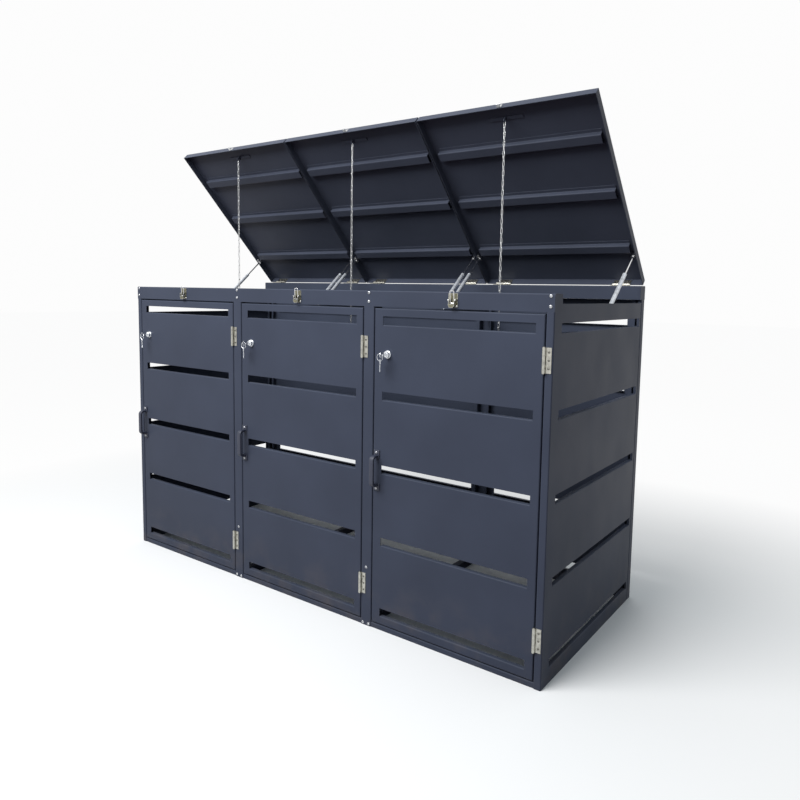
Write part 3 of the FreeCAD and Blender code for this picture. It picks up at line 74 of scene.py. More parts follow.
WHITE = (1.0, 1.0, 1.0, 1.0)
DUST = srgb(104, 96, 90)
EDGE_SAMPLES = 4
# The places of a colour Mix node's own sockets.
FIRST_COLOUR, SECOND_COLOUR, MIXED_COLOUR = 6, 7, 2


def shade_of(colour, *factors):
    """A colour with its channels scaled, by one factor or by one for each."""
    if len(factors) == 1:
        factors = factors * 3
    return tuple(channel * factor for channel, factor in zip(colour, factors)) + (1.0,)


class Finish:
    """A material under construction: its nodes and its Principled shader."""

    def __init__(self, name, colour, roughness, metallic=0.0):
        self.material = bpy.data.materials.new(name)
        self.material.use_nodes = True
        self.tree = self.material.node_tree
        self.shader = self.tree.nodes["Principled BSDF"]
        self.shader.inputs["Base Color"].default_value = colour
        self.shader.inputs["Roughness"].default_value = roughness
        self.shader.inputs["Metallic"].default_value = metallic
        self.place = self.tree.nodes.new("ShaderNodeTexCoord").outputs["Object"]

    def link(self, output, socket):
        self.tree.links.new(output, socket)
        return output

    def noise(self, scale, detail=3.0, stretch=None):
        """Noise over the piece, scale in waves per metre; stretch squeezes it along each axis."""
        node = self.tree.nodes.new("ShaderNodeTexNoise")
        node.inputs["Scale"].default_value = scale
        node.inputs["Detail"].default_value = detail
        place = self.place
        if stretch:
            mapping = self.tree.nodes.new("ShaderNodeMapping")
            mapping.inputs["Scale"].default_value = stretch
            self.link(place, mapping.inputs["Vector"])
            place = mapping.outputs["Vector"]
        self.link(place, node.inputs["Vector"])
        return node.outputs["Fac"]

    def ramp(self, value, low, high, to_low=0.0, to_high=1.0):
        """A value between two limits, spread from to_low to to_high."""
        node = self.tree.nodes.new("ShaderNodeMapRange")
        limits = {"From Min": low, "From Max": high, "To Min": to_low, "To Max": to_high}
        for label, limit in limits.items():
            node.inputs[label].default_value = limit
        self.link(value, node.inputs["Value"])
        return node.outputs["Result"]

    def times(self, first, second):
        """The product of two values, each a number or an output."""
        node = self.tree.nodes.new("ShaderNodeMath")
        node.operation = "MULTIPLY"
        for socket, value in zip(node.inputs, (first, second)):
            if isinstance(value, (int, float)):
                socket.default_value = value
            else:
                self.link(value, socket)
        return node.outputs["Value"]

    def mix(self, share, first, second):
        """A colour between two colours or colour outputs."""
        node = self.tree.nodes.new("ShaderNodeMix")
        node.data_type = "RGBA"
        self.link(share, node.inputs["Factor"])
        for socket, value in ((node.inputs[FIRST_COLOUR], first), (node.inputs[SECOND_COLOUR], second)):
            if isinstance(value, tuple):
                socket.default_value = value
            else:
                self.link(value, socket)
        return node.outputs[MIXED_COLOUR]

    def height(self):
        """Height above the ground, in metres."""
        node = self.tree.nodes.new("ShaderNodeSeparateXYZ")
        self.link(self.place, node.inputs["Vector"])
        return node.outputs["Z"]

    def edges(self, radius):
        """1 on a sharp edge, falling to 0 over radius."""
        round_off = self.tree.nodes.new("ShaderNodeBevel")
        round_off.samples = EDGE_SAMPLES
        round_off.inputs["Radius"].default_value = radius
        plain = self.tree.nodes.new("ShaderNodeNewGeometry")
        dot = self.tree.nodes.new("ShaderNodeVectorMath")
        dot.operation = "DOT_PRODUCT"
        self.link(round_off.outputs["Normal"], dot.inputs[0])
        self.link(plain.outputs["Normal"], dot.inputs[1])
        return self.ramp(dot.outputs["Value"], 0.99, 0.75)

    def colour(self, output):
        self.link(output, self.shader.inputs["Base Color"])

    def roughness(self, output):
        self.link(output, self.shader.inputs["Roughness"])

    def bump(self, output, distance, strength):
        node = self.tree.nodes.new("ShaderNodeBump")
        node.inputs["Distance"].default_value = distance
        node.inputs["Strength"].default_value = strength
        self.link(output, node.inputs["Height"])
        self.link(node.outputs["Normal"], self.shader.inputs["Normal"])
        return node

    def soft_edges(self, radius, bumped):
        """Shade the edges as if they were rounded, under a bump."""
        node = self.tree.nodes.new("ShaderNodeBevel")
        node.samples = EDGE_SAMPLES
        node.inputs["Radius"].default_value = radius
        self.link(node.outputs["Normal"], bumped.inputs["Normal"])


def powder_coat(name, colour, worn):
    """Satin powder coat: fine orange peel, slow cloudiness, rubbed edges and dust towards the ground."""
    finish = Finish(name, colour, 0.42)
    finish.shader.inputs["Specular IOR Level"].default_value = 0.10
    cloud = finish.ramp(finish.noise(3.5, 4.0), 0.3, 0.7)
    body = finish.mix(cloud, shade_of(colour, 0.90), shade_of(colour, 1.08))
    rubbed = finish.times(finish.edges(0.0012), finish.ramp(finish.noise(60.0), 0.42, 0.62))
    body = finish.mix(finish.times(rubbed, 0.5), body, worn)
    low = finish.ramp(finish.height(), 0.02, 0.22, 1.0, 0.0)
    dust = finish.times(finish.times(low, finish.ramp(finish.noise(14.0, 6.0), 0.45, 0.75)), 0.35)
    finish.colour(finish.mix(dust, body, DUST))
    smear = finish.ramp(finish.noise(9.0, 5.0, (1.0, 1.0, 0.6)), 0.3, 0.75, 0.40, 0.48)
    finish.roughness(smear)
    finish.soft_edges(0.0009, finish.bump(finish.noise(850.0, 2.0), 0.00006, 0.5))
    return finish.material


def brushed(name, colour, grain, rough, metallic=1.0):
    """Brushed or plated steel with a fine grain along one axis and a little staining."""
    finish = Finish(name, colour, rough, metallic)
    stretch = tuple(40.0 if axis != grain else 2.0 for axis in "XYZ")
    lines = finish.noise(30.0, 4.0, stretch)
    stain = finish.ramp(finish.noise(90.0, 4.0), 0.45, 0.75)
    finish.colour(finish.mix(stain, colour, shade_of(colour, 0.62)))
    finish.roughness(finish.ramp(lines, 0.3, 0.7, rough * 0.8, rough * 1.3))
    finish.bump(lines, 0.00003, 0.5)
    return finish.material


def plated(name, colour, rough):
    """Nickel or chrome plate, handled: smooth, with finger marks."""
    finish = Finish(name, colour, rough, 1.0)
    finish.roughness(finish.ramp(finish.noise(160.0, 5.0), 0.4, 0.7, rough, rough * 2.2))
    finish.bump(finish.noise(1200.0, 2.0), 0.00001, 0.4)
    return finish.material


def passivated(name, colour, bare):
    """Yellow-passivated steel plate, rubbed bright along its edges."""
    finish = Finish(name, colour, 0.34, 1.0)
    cloud = finish.ramp(finish.noise(140.0, 4.0), 0.35, 0.7)
    film = finish.mix(cloud, colour, shade_of(colour, 1.5, 1.4, 1.2))
    finish.colour(finish.mix(finish.edges(0.0022), film, bare))
    finish.roughness(finish.ramp(finish.noise(300.0, 3.0), 0.3, 0.7, 0.26, 0.42))
    finish.bump(finish.noise(900.0, 2.0), 0.00002, 0.4)
    return finish.material


def moulded(name, colour):
    """Grained nylon with patches that handling has rubbed shinier."""
    finish = Finish(name, colour, 0.5)
    grain = finish.noise(1500.0, 2.0)
    finish.roughness(finish.ramp(finish.noise(35.0, 3.0), 0.35, 0.7, 0.34, 0.58))
    finish.colour(finish.mix(finish.ramp(grain, 0.35, 0.65), colour, shade_of(colour, 1.5)))
    finish.bump(grain, 0.00005, 0.6)
    return finish.material


BARE_STEEL = (0.88, 0.89, 0.90, 1.0)
COAT = powder_coat("anthracite_coat", srgb(62, 68, 83), srgb(112, 117, 124))
# The lids take a lighter copy of the same anthracite coat: painted light that lifts their shaded undersides.
LID_COAT_PAINTED_LIGHTER = powder_coat("anthracite_lid_coat", srgb(69, 74, 88), srgb(116, 120, 128))
STAINLESS = brushed("stainless_hinge", (0.50, 0.49, 0.44, 1.0), "Z", 0.30)
ZINC = brushed("bright_zinc", (0.70, 0.71, 0.72, 1.0), "X", 0.26)
TUBE_STEEL = brushed("strut_tube_steel", (0.74, 0.77, 0.82, 1.0), "X", 0.30, 0.45)
CHROME = plated("polished_rod", (0.80, 0.80, 0.81, 1.0), 0.10)
NICKEL = plated("nickel_lock", (0.74, 0.76, 0.79, 1.0), 0.20)
NYLON = moulded("handle_nylon", srgb(42, 46, 60))
SCREW_STEEL = plated("screw_steel", (0.42, 0.43, 0.45, 1.0), 0.20)
# The hinges' screw heads are steel painted dark: painted shade that stands for the shadows under their heads.
HINGE_SCREW_PAINTED_SHADE = plated("hinge_screw_steel", (0.17, 0.165, 0.15, 1.0), 0.30)
RIVET_STEEL = plated("bright_rivet", BARE_STEEL, 0.24)
PASSIVATED = passivated("passivated_catch", (0.17, 0.17, 0.13, 1.0), BARE_STEEL)


def paint(node, material):
    """Give a carried-over part its finish."""
    thing = frame["nodes"][node]
    thing.data.materials.clear()
    thing.data.materials.append(material)


FRAME_COATED = ("left_side_panel", "right_side_panel", "back_panel_left", "back_panel_middle",
                "back_panel_right", "front_top_rail", "back_top_rail", "frame_posts", "sills", "frame_ties")
for node in FRAME_COATED:
    paint(node, COAT)
for node in ("door_hinge_post_leaves", "lid_hinge_rail_leaves"):
    paint(node, STAINLESS)
paint("strut_frame_brackets", ZINC)
paint("catch_bases", PASSIVATED)
for number in LIDS:
    paint(f"door_{number}_panel", COAT)
    paint(f"door_{number}_hinge_leaves", STAINLESS)
    for part in ("lock", "key", "key_ring"):
        paint(f"door_{number}_{part}", NICKEL)
    for part in ("panel", "ribs"):
        paint(f"lid_{number}_{part}", LID_COAT_PAINTED_LIGHTER)
    paint(f"lid_{number}_hinge_leaves", STAINLESS)
    paint(f"lid_{number}_fittings", ZINC)
    paint(f"strut_{number}_rods", CHROME)
    paint(f"catch_lever_{number}", PASSIVATED)
    paint(f"catch_loop_{number}", CHROME)


# Objects from meshes, and geometry node trees for what repeats.

def new_object(name, data):
    """An object at the origin, in the scene, with a mesh, lamp or camera as its data."""
    made = bpy.data.objects.new(name, data)
    bpy.context.scene.collection.objects.link(made)
    return made


def from_shape(name, shape, materials=()):
    """An object with the mesh of a bmesh, which is used up."""
    mesh = bpy.data.meshes.new(name)
    shape.to_mesh(mesh)
    shape.free()
    for material in materials:
        mesh.materials.append(material)
    return new_object(name, mesh)


class Growth:
    """A geometry node tree with named inputs that starts from points and ends in a plain mesh."""

    def __init__(self, name, sizes):
        self.tree = bpy.data.node_groups.new(name, "GeometryNodeTree")
        face = self.tree.interface
        face.new_socket("Geometry", in_out="INPUT", socket_type="NodeSocketGeometry")
        self.keys = {}
        for label, (kind, value) in sizes.items():
            socket = face.new_socket(label, in_out="INPUT", socket_type=kind)
            socket.default_value = value
            self.keys[label] = socket.identifier
        face.new_socket("Geometry", in_out="OUTPUT", socket_type="NodeSocketGeometry")
        self.given = self.tree.nodes.new("NodeGroupInput")
        self.result = self.tree.nodes.new("NodeGroupOutput")

    def add(self, kind, **links):
        """A node; each keyword names an input socket, with _ for a space, and gives its source or value."""
        node = self.tree.nodes.new(kind)
        for label, value in links.items():
            socket = node.inputs[label.replace("_", " ")]
            if isinstance(value, bpy.types.NodeSocket):
                self.tree.links.new(value, socket)
            else:
                socket.default_value = value
        return node

    def size(self, label):
        return self.given.outputs[label]

    def end(self, geometry, material):
        """Make the instances real, give them their finish and hand them out."""
        real = self.add("GeometryNodeRealizeInstances", Geometry=geometry)
        shade = self.add("GeometryNodeSetMaterial", Geometry=real.outputs[0], Material=material)
        self.tree.links.new(shade.outputs[0], self.result.inputs[0])

    def grow(self, name, points, sizes=None):
        """The tree's plain mesh over a cloud of points, as a new object at the origin."""
        cloud = bpy.data.meshes.new(name + "_points")
        cloud.from_pydata([tuple(point) for point in points], [], [])
        carrier = new_object(name + "_carrier", cloud)
        modifier = carrier.modifiers.new("growth", "NODES")
        modifier.node_group = self.tree
        for label, value in (sizes or {}).items():
            modifier[self.keys[label]] = value
        view = bpy.context.evaluated_depsgraph_get()
        view.update()
        mesh = bpy.data.meshes.new_from_object(carrier.evaluated_get(view))
        mesh.name = name
        bpy.data.objects.remove(carrier)
        return new_object(name, mesh)


def smooth(piece, angle):
    """Shade a piece smooth, with sharp edges kept above an angle."""
    piece.data.shade_smooth()
    piece.data.set_sharp_from_angle(angle=math.radians(angle))
    return piece


CHAIN_LINK = 0.0205
CHAIN_WIRE = 0.0020
CHAIN_SLACK = 0.0003
CHAIN_WIDTH = 0.0058
CHAIN_BEND = 0.0028
CHAIN_BEND_STEPS = 5
CHAIN_WIRE_SIDES = 8
CHAIN_UNDER_EYE = 0.002
# Edges sharper than this many degrees stay sharp.
LINK_EDGE = 60.0
FITTING_EDGE = 40.0


def chain_growth(material):
    """Round-wire links down a line, each turned a quarter from the last; sizes to the wire's middle."""
    growth = Growth("chain_links", {
        "Link length": ("NodeSocketFloat", CHAIN_LINK - CHAIN_WIRE),
        "Link width": ("NodeSocketFloat", CHAIN_WIDTH),
        "Wire radius": ("NodeSocketFloat", CHAIN_WIRE / 2),
        "Bend radius": ("NodeSocketFloat", CHAIN_BEND)})
    outline = growth.add("GeometryNodeCurvePrimitiveQuadrilateral",
                         Width=growth.size("Link width"), Height=growth.size("Link length"))
    bent = growth.add("GeometryNodeFilletCurve", Curve=outline.outputs[0], Radius=growth.size("Bend radius"))
    bent.mode = "POLY"
    bent.inputs["Count"].default_value = CHAIN_BEND_STEPS
    wire = growth.add("GeometryNodeCurvePrimitiveCircle", Resolution=CHAIN_WIRE_SIDES,
                      Radius=growth.size("Wire radius"))
    link = growth.add("GeometryNodeCurveToMesh", Curve=bent.outputs[0], Profile_Curve=wire.outputs[0])
    upright = growth.add("GeometryNodeTransform", Geometry=link.outputs[0],
                         Rotation=Euler((math.pi / 2, 0, 0)))
    index = growth.add("GeometryNodeInputIndex")
    odd = growth.add("ShaderNodeMath")
    odd.operation = "MODULO"
    growth.tree.links.new(index.outputs[0], odd.inputs[0])
    odd.inputs[1].default_value = 2.0
    quarter = growth.add("ShaderNodeMath")
    quarter.operation = "MULTIPLY"
    growth.tree.links.new(odd.outputs[0], quarter.inputs[0])
    quarter.inputs[1].default_value = math.pi / 2
    turn = growth.add("ShaderNodeCombineXYZ", Z=quarter.outputs[0])
    spread = growth.add("GeometryNodeInstanceOnPoints", Points=growth.given.outputs[0],
                        Instance=upright.outputs[0], Rotation=turn.outputs[0])
    growth.end(spread.outputs[0], material)
    return growth


def lathe(name, profile, sides=20):
    """A closed turned solid about Z from its half section, (radius, height) in order from axis to axis."""
    shape = bmesh.new()
    rings = []
    for radius, height in profile:
        if radius == 0:
            rings.append([shape.verts.new((0, 0, height))])
            continue
        angles = [2 * math.pi / sides * side for side in range(sides)]
        rings.append([shape.verts.new((radius * math.cos(angle), radius * math.sin(angle), height))
                      for angle in angles])
    for lower, upper in zip(rings, rings[1:]):
        for side in range(sides):
            after = (side + 1) % sides
            corners = [lower[side % len(lower)], lower[after % len(lower)],
                       upper[after % len(upper)], upper[side % len(upper)]]
            distinct = list(dict.fromkeys(corners))
            if len(distinct) > 2:
                shape.faces.new(distinct)
    bmesh.ops.recalc_face_normals(shape, faces=shape.faces)
    return from_shape(name, shape)


HEAD_SIDES = 18


def screw_head(name, radius, rise, recess):
    """A low domed head on Z = 0 with a round socket sunk in it."""
    dome = [(0.0, 0.0), (radius, 0.0), (radius, rise * 0.25), (radius * 0.93, rise * 0.55),
            (radius * 0.76, rise * 0.86), (radius * 0.55, rise), (recess, rise), (recess * 0.92, rise * 0.45),
            (0.0, rise * 0.38)]
    return lathe(name, dome, HEAD_SIDES)


def fastener_growth(head, material):
    """One head on every point, all turned alike."""
    growth = Growth("fasteners_" + head.name, {"Turn": ("NodeSocketRotation", Euler((0, 0, 0))),
                                               "Scale": ("NodeSocketFloat", 1.0)})
    stock = growth.add("GeometryNodeObjectInfo")
    stock.inputs["Object"].default_value = head
    spread = growth.add("GeometryNodeInstanceOnPoints", Points=growth.given.outputs[0],
                        Instance=stock.outputs["Geometry"], Rotation=growth.size("Turn"),
                        Scale=growth.size("Scale"))
    growth.end(spread.outputs[0], material)
    return growth


def lid_point(lid, across, along, up):
    """A place in a lid's own frame, in metres, as a place on the open lid."""
    middle = Vector(((lid - 2) * BAY_PITCH, 0, 0))
    return middle + LID_AXIS + LID_TURN @ Vector((across, along, up))


MERGE_WITHIN = 1e-6


def solids(node):
    """The lowest and highest corners of each loose solid of a carried-over part."""
    shape = bmesh.new()
    shape.from_mesh(frame["nodes"][node].data)
    bmesh.ops.remove_doubles(shape, verts=shape.verts, dist=MERGE_WITHIN)
    found = []
    waiting = set(shape.verts)
    while waiting:
        to_visit = [waiting.pop()]
        places = []
        while to_visit:
            vertex = to_visit.pop()
            places.append(vertex.co.copy())
            for edge in vertex.link_edges:
                other = edge.other_vert(vertex)
                if other in waiting:
                    waiting.discard(other)
                    to_visit.append(other)
        found.append((Vector(map(min, zip(*places))), Vector(map(max, zip(*places)))))
    shape.free()
    return sorted(found, key=lambda box: tuple(box[0]))


def joined(name, pieces):
    """Several meshes under one name, each with its own finish."""
    shape = bmesh.new()
    materials = []
    for piece in pieces:
        start = len(shape.faces)
        shape.from_mesh(piece.data)
        shape.faces.ensure_lookup_table()
        for face in shape.faces[start:]:
            face.material_index = len(materials)
        materials.append(piece.data.materials[0])
    for piece in pieces:
        bpy.data.objects.remove(piece)
    return from_shape(name, shape, materials)


def finished(piece, body, replaced=None):
    """Hand a piece over to the body that carries it."""
    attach(piece, body)
    if replaced:
        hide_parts(replaced)
    return piece


# The chains that hold the bins' own lids.

chains = chain_growth(ZINC)
chain_step = CHAIN_LINK - 2 * CHAIN_WIRE - CHAIN_SLACK
for number in LIDS:
    bottom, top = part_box(f"lid_{number}_chain")
    middle = (top + bottom) / 2
    count = int((top.z - bottom.z - CHAIN_LINK) / chain_step) + 1
    first = top.z - CHAIN_UNDER_EYE - CHAIN_LINK / 2
    points = [(middle.x, middle.y, first - chain_step * index) for index in range(count)]
    chain = smooth(chains.grow(f"chain_{number}_links", points), LINK_EDGE)
    finished(chain, f"chain_{number}", f"lid_{number}_chain")

# Screws, bolts and rivets.

TO_THE_FRONT = Euler((math.pi / 2, 0, 0))
UPWARDS = Euler((0, 0, 0))
TO_THE_LEFT = Euler((0, -math.pi / 2, 0))
TO_THE_RIGHT = Euler((0, math.pi / 2, 0))
INTO_THE_LID = (LID_TURN.to_3x3() @ Matrix.Rotation(math.pi / 2, 3, "X")).to_euler()
SCREW_ROW = 0.024
LID_SCREW_ROW = 0.020

button_head = screw_head("button_head", 0.0055, 0.0030, 0.0021)
leaf_screw = screw_head("leaf_screw", 0.0036, 0.0020, 0.0014)
handle_screw = screw_head("handle_screw", 0.0046, 0.0026, 0.0019)
plate_rivet = screw_head("plate_rivet", 0.0026, 0.0012, 0.0006)
frame_bolt_growth = fastener_growth(button_head, SCREW_STEEL)
leaf_screw_growth = fastener_growth(leaf_screw, HINGE_SCREW_PAINTED_SHADE)
handle_screw_growth = fastener_growth(handle_screw, SCREW_STEEL)
rivet_growth = fastener_growth(plate_rivet, RIVET_STEEL)


def fasteners(name, growth, points, turn, body, replaced=None):
    """A row of heads on one body."""
    piece = smooth(growth.grow(name, points, {"Turn": turn}), FITTING_EDGE)
    return finished(piece, body, replaced)


bolt_spots = [((low.x + high.x) / 2, high.y, (low.z + high.z) / 2) for low, high in solids("frame_bolts")]
fasteners("frame_bolt_heads", frame_bolt_growth, bolt_spots, TO_THE_FRONT, "frame", "frame_bolts")

LEAF_GAUGE = 0.002
POST_SCREW_INSET = 0.0080
RAIL_SCREW_INSET = 0.012
post_leaves = solids("door_hinge_post_leaves")
spots = [(high.x - POST_SCREW_INSET, high.y - LEAF_GAUGE, (low.z + high.z) / 2 + row * SCREW_ROW)
         for low, high in post_leaves for row in (-1, 0, 1)]
fasteners("door_hinge_screws", leaf_screw_growth, spots, TO_THE_FRONT, "frame")
rail_leaves = solids("lid_hinge_rail_leaves")
spots = [((low.x + high.x) / 2 + row * LID_SCREW_ROW, low.y + RAIL_SCREW_INSET, BACK_RAIL_TOP + LEAF_GAUGE)
         for low, high in rail_leaves for row in (-1, 0, 1)]
fasteners("rail_hinge_screws", leaf_screw_growth, spots, UPWARDS, "frame")

# Door handles: a bow with rounded edges on two feet.


def rounded_box(name, low, high, radius, material):
    """A block with rounded edges between two corners."""
    shape = bmesh.new()
    bmesh.ops.create_cube(shape, size=1.0)
    for vertex in shape.verts:
        vertex.co = Vector(start + (share + 0.5) * (stop - start)
                           for share, start, stop in zip(vertex.co, low, high))
    bmesh.ops.bevel(shape, geom=shape.edges[:], offset=radius, segments=3, profile=0.5, affect="EDGES")
    return from_shape(name, shape, [material])


def bow(name, middle_x, path, half_width, half_gauge, corner, material):
    """A bar of rounded section along a path of (y, z, direction) stations, closed at both ends."""
    section = []
    for quarter in range(4):
        across = half_width - corner if quarter in (0, 3) else corner - half_width
        out = half_gauge - corner if quarter in (0, 1) else corner - half_gauge
        for step in range(5):
            angle = math.pi / 2 * (quarter + step / 4)
            section.append((across + corner * math.cos(angle), out + corner * math.sin(angle)))
    shape = bmesh.new()
    rings = []
    for along, up, direction in path:
        outwards = (-math.sin(direction), math.cos(direction))
        rings.append([shape.verts.new((middle_x + side, along + out * outwards[0], up + out * outwards[1]))
                      for side, out in section])
    for before, after in zip(rings, rings[1:]):
        for index in range(len(section)):
            other = (index + 1) % len(section)
            shape.faces.new((before[index], before[other], after[other], after[index]))
    shape.faces.new(list(reversed(rings[0])))
    shape.faces.new(rings[-1])
    bmesh.ops.recalc_face_normals(shape, faces=shape.faces)
    return from_shape(name, shape, [material])


FOOT_LENGTH = 0.026
FOOT_GAUGE = 0.004
BOW_INSET = 0.017
BOW_GAUGE = 0.009
BOW_HALF_WIDTH = 0.009
BOW_CORNER = 0.003
BOW_BEND = 0.0125
BOW_BEND_STEPS = 6
FOOT_ROUND = 0.0014
HANDLE_SCREW_INSET = 0.009
for number in LIDS:
    low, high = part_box(f"door_{number}_handle")
    middle_x = (low.x + high.x) / 2
    outer = low.y + BOW_GAUGE / 2
    inner = high.y - FOOT_GAUGE / 2
    bottom = low.z + BOW_INSET + BOW_GAUGE / 2
    top = high.z - BOW_INSET - BOW_GAUGE / 2
    path = [(inner, bottom, math.pi)]
    for step in range(BOW_BEND_STEPS + 1):
        angle = math.pi / 2 * step / BOW_BEND_STEPS
        path.append((outer + BOW_BEND * (1 - math.sin(angle)), bottom + BOW_BEND * (1 - math.cos(angle)),
                     math.pi - angle))
    for step in range(BOW_BEND_STEPS + 1):
        angle = math.pi / 2 * step / BOW_BEND_STEPS
        path.append((outer + BOW_BEND * (1 - math.cos(angle)), top - BOW_BEND * (1 - math.sin(angle)),
                     math.pi / 2 - angle))
    path.append((inner, top, 0.0))
    pieces = [bow("bow", middle_x, path, BOW_HALF_WIDTH, BOW_GAUGE / 2, BOW_CORNER, NYLON)]
    for foot_low in (low.z, high.z - FOOT_LENGTH):
        pieces.append(rounded_box("foot", (low.x, high.y - FOOT_GAUGE, foot_low),
                                  (high.x, high.y, foot_low + FOOT_LENGTH), FOOT_ROUND, NYLON))
    grip = smooth(joined(f"door_{number}_bow_handle", pieces), FITTING_EDGE)
    finished(grip, f"door_{number}", f"door_{number}_handle")
    spots = [(middle_x, high.y - FOOT_GAUGE, height)
             for height in (low.z + HANDLE_SCREW_INSET, high.z - HANDLE_SCREW_INSET)]
    fasteners(f"door_{number}_handle_screws", handle_screw_growth, spots, TO_THE_FRONT, f"door_{number}")

# Rivets of the catches, studs and wall brackets, and screws of the lids' hinges.

CATCH_BASE_OVER = 0.03
CATCH_RIVET_ACROSS = 0.0135
CATCH_RIVET_UP = 0.004
CATCH_GAUGE = 0.0015
rivet_spots = []
for low, high in solids("catch_bases"):
    if high.z - low.z > CATCH_BASE_OVER:
        middle_x = (low.x + high.x) / 2
        rivet_spots += [(middle_x + side * CATCH_RIVET_ACROSS, high.y - CATCH_GAUGE, low.z + CATCH_RIVET_UP)
                        for side in (-1, 1)]
fasteners("catch_rivets", rivet_growth, rivet_spots, TO_THE_FRONT, "frame")

LEAF_ALONG = 0.0021
LEAF_MIDDLE = 0.255
LEAF_UP = 0.0175
STUD_ALONG = -0.1339
STUD_UP = 0.016
PLATE_ACROSS = 0.333
PLATE_SCREW = 0.0092
for number in LIDS:
    spots = [lid_point(number, hand * LEAF_MIDDLE + row * LID_SCREW_ROW, LEAF_ALONG, LEAF_UP)
             for hand in (-1, 1) for row in (-1, 0, 1)]
    fasteners(f"lid_{number}_hinge_screws", leaf_screw_growth, spots, INTO_THE_LID, f"lid_{number}")
    for word, hand, turn in (("left", -1, TO_THE_RIGHT), ("right", 1, TO_THE_LEFT)):
        spots = [lid_point(number, hand * PLATE_ACROSS, STUD_ALONG + end * PLATE_SCREW, STUD_UP)
                 for end in (-1, 1)]
        fasteners(f"lid_{number}_{word}_stud_rivets", rivet_growth, spots, turn, f"lid_{number}")

WALL_PLATES_FROM = 1.5 * BAY_PITCH - 0.1
plates = [(low, high) for low, high in solids("strut_frame_brackets") if abs(low.x) > WALL_PLATES_FROM]
for word, (low, high), turn in (("left", plates[0], TO_THE_RIGHT), ("right", plates[-1], TO_THE_LEFT)):
    inner_face = high.x if word == "left" else low.x
    spots = [(inner_face, (low.y + high.y) / 2 + end * PLATE_SCREW, (low.z + high.z) / 2) for end in (-1, 1)]
    fasteners(f"{word}_wall_bracket_rivets", rivet_growth, spots, turn, "frame")

for head in (button_head, leaf_screw, handle_screw, plate_rivet):
    bpy.data.objects.remove(head)

# Gas strut tubes: turned, with a necked foot, a rolled mouth round the seal and a ball stud.


def set_down(piece, matrix, material):
    """Move a turned piece to its place and give it its finish."""
    piece.data.transform(matrix)
    piece.data.materials.append(material)
    return piece


STRUT_LENGTH = 0.30243
TUBE_RADIUS = 0.0075
TUBE_PROFILE = [(0.0, -0.0062), (0.0042, -0.0062), (0.0057, -0.0050), (0.0062, -0.0032), (0.0062, 0.0060),
                (0.0056, 0.0074), (0.0046, 0.0082), (0.0046, 0.0098), (0.0064, 0.0102), (0.0072, 0.0108),
                (TUBE_RADIUS, 0.0122), (TUBE_RADIUS, 0.1780), (0.0071, 0.1792), (0.0071, 0.1812),
                (TUBE_RADIUS, 0.1824), (TUBE_RADIUS, 0.1862), (0.0072, 0.1882), (0.0065, 0.1894),
                (0.0056, 0.1898), (0.0050, 0.1892)]
SEAL_PROFILE = [(0.0050, 0.1884), (0.0044, 0.1888), (0.0038, 0.1884), (0.0037, 0.1860), (0.0037, 0.0700),
                (0.0, 0.0700)]
TUBE_SIDES = 28
STUD_RADIUS = 0.0030
FLANGE_RADIUS = 0.0060


def stud_profile(reach):
    """A pin with a flange at its end, where it meets the bracket."""
    return [(0.0, 0.0), (STUD_RADIUS, 0.0), (STUD_RADIUS, reach - 0.0030), (0.0052, reach - 0.0020),
            (FLANGE_RADIUS, reach - 0.0014), (FLANGE_RADIUS, reach), (0.0, reach)]


for number in LIDS:
    ball = Vector(JOINTS[f"strut_{number}_rod_swing"]["pos_m"])
    along = Vector(JOINTS[f"strut_{number}_slide"]["axis"]).normalized()
    foot = ball - along * STRUT_LENGTH
    pieces = []
    for low, high in solids(f"strut_{number}_tubes"):
        outwards = -1 if low.x < ball.x else 1
        middle_x = high.x - TUBE_RADIUS if outwards < 0 else low.x + TUBE_RADIUS
        reach = (middle_x - low.x) if outwards < 0 else (high.x - middle_x)
        place = Matrix.Translation((middle_x, foot.y, foot.z))
        tilt = along.to_track_quat("Z", "X").to_matrix().to_4x4()
        tube = set_down(lathe("tube", TUBE_PROFILE + SEAL_PROFILE, TUBE_SIDES), place @ tilt, TUBE_STEEL)
        stud = lathe("stud", stud_profile(reach))
        sideways = Matrix.Rotation(outwards * math.pi / 2, 4, "Y")
        pieces += [tube, set_down(stud, place @ sideways, ZINC)]
    tubes = smooth(joined(f"strut_{number}_turned_tubes", pieces), FITTING_EDGE)
    finished(tubes, f"strut_tubes_{number}", f"strut_{number}_tubes")

# Camera, light and floor.

PHOTO_PIXELS = 800


def camera(place, yaw, pitch, roll, focal_pixels, centre):
    """The photograph's viewpoint, its pinhole centre given in the photograph's pixels."""
    data = bpy.data.cameras.new("viewpoint")
    data.sensor_width = 36.0
    data.lens = focal_pixels / PHOTO_PIXELS * data.sensor_width
    data.shift_x = (PHOTO_PIXELS / 2 - centre[0]) / PHOTO_PIXELS
    data.shift_y = (centre[1] - PHOTO_PIXELS / 2) / PHOTO_PIXELS
    data.clip_start = 0.05
    data.clip_end = 100.0
    right = Vector((math.cos(yaw), math.sin(yaw), 0))
    ahead = Vector((-math.sin(yaw) * math.cos(pitch), math.cos(yaw) * math.cos(pitch), -math.sin(pitch)))
    up = right.cross(ahead)
    rolled_right = math.cos(roll) * right + math.sin(roll) * up
    rolled_up = math.cos(roll) * up - math.sin(roll) * right
    frame_axes = Matrix((rolled_right, rolled_up, -ahead)).transposed().to_4x4()
    made = new_object("viewpoint", data)
    made.matrix_world = Matrix.Translation(place) @ frame_axes
    bpy.context.scene.camera = made


def softbox(name, place, aim, width, height, power):
    """A rectangular lamp that looks at a point."""
    data = bpy.data.lights.new(name, "AREA")
    data.shape = "RECTANGLE"
    data.size = width
    data.size_y = height
    data.energy = power
    direction = Vector(aim) - Vector(place)
    made = new_object(name, data)
    made.matrix_world = Matrix.Translation(place) @ direction.to_track_quat("-Z", "Y").to_matrix().to_4x4()


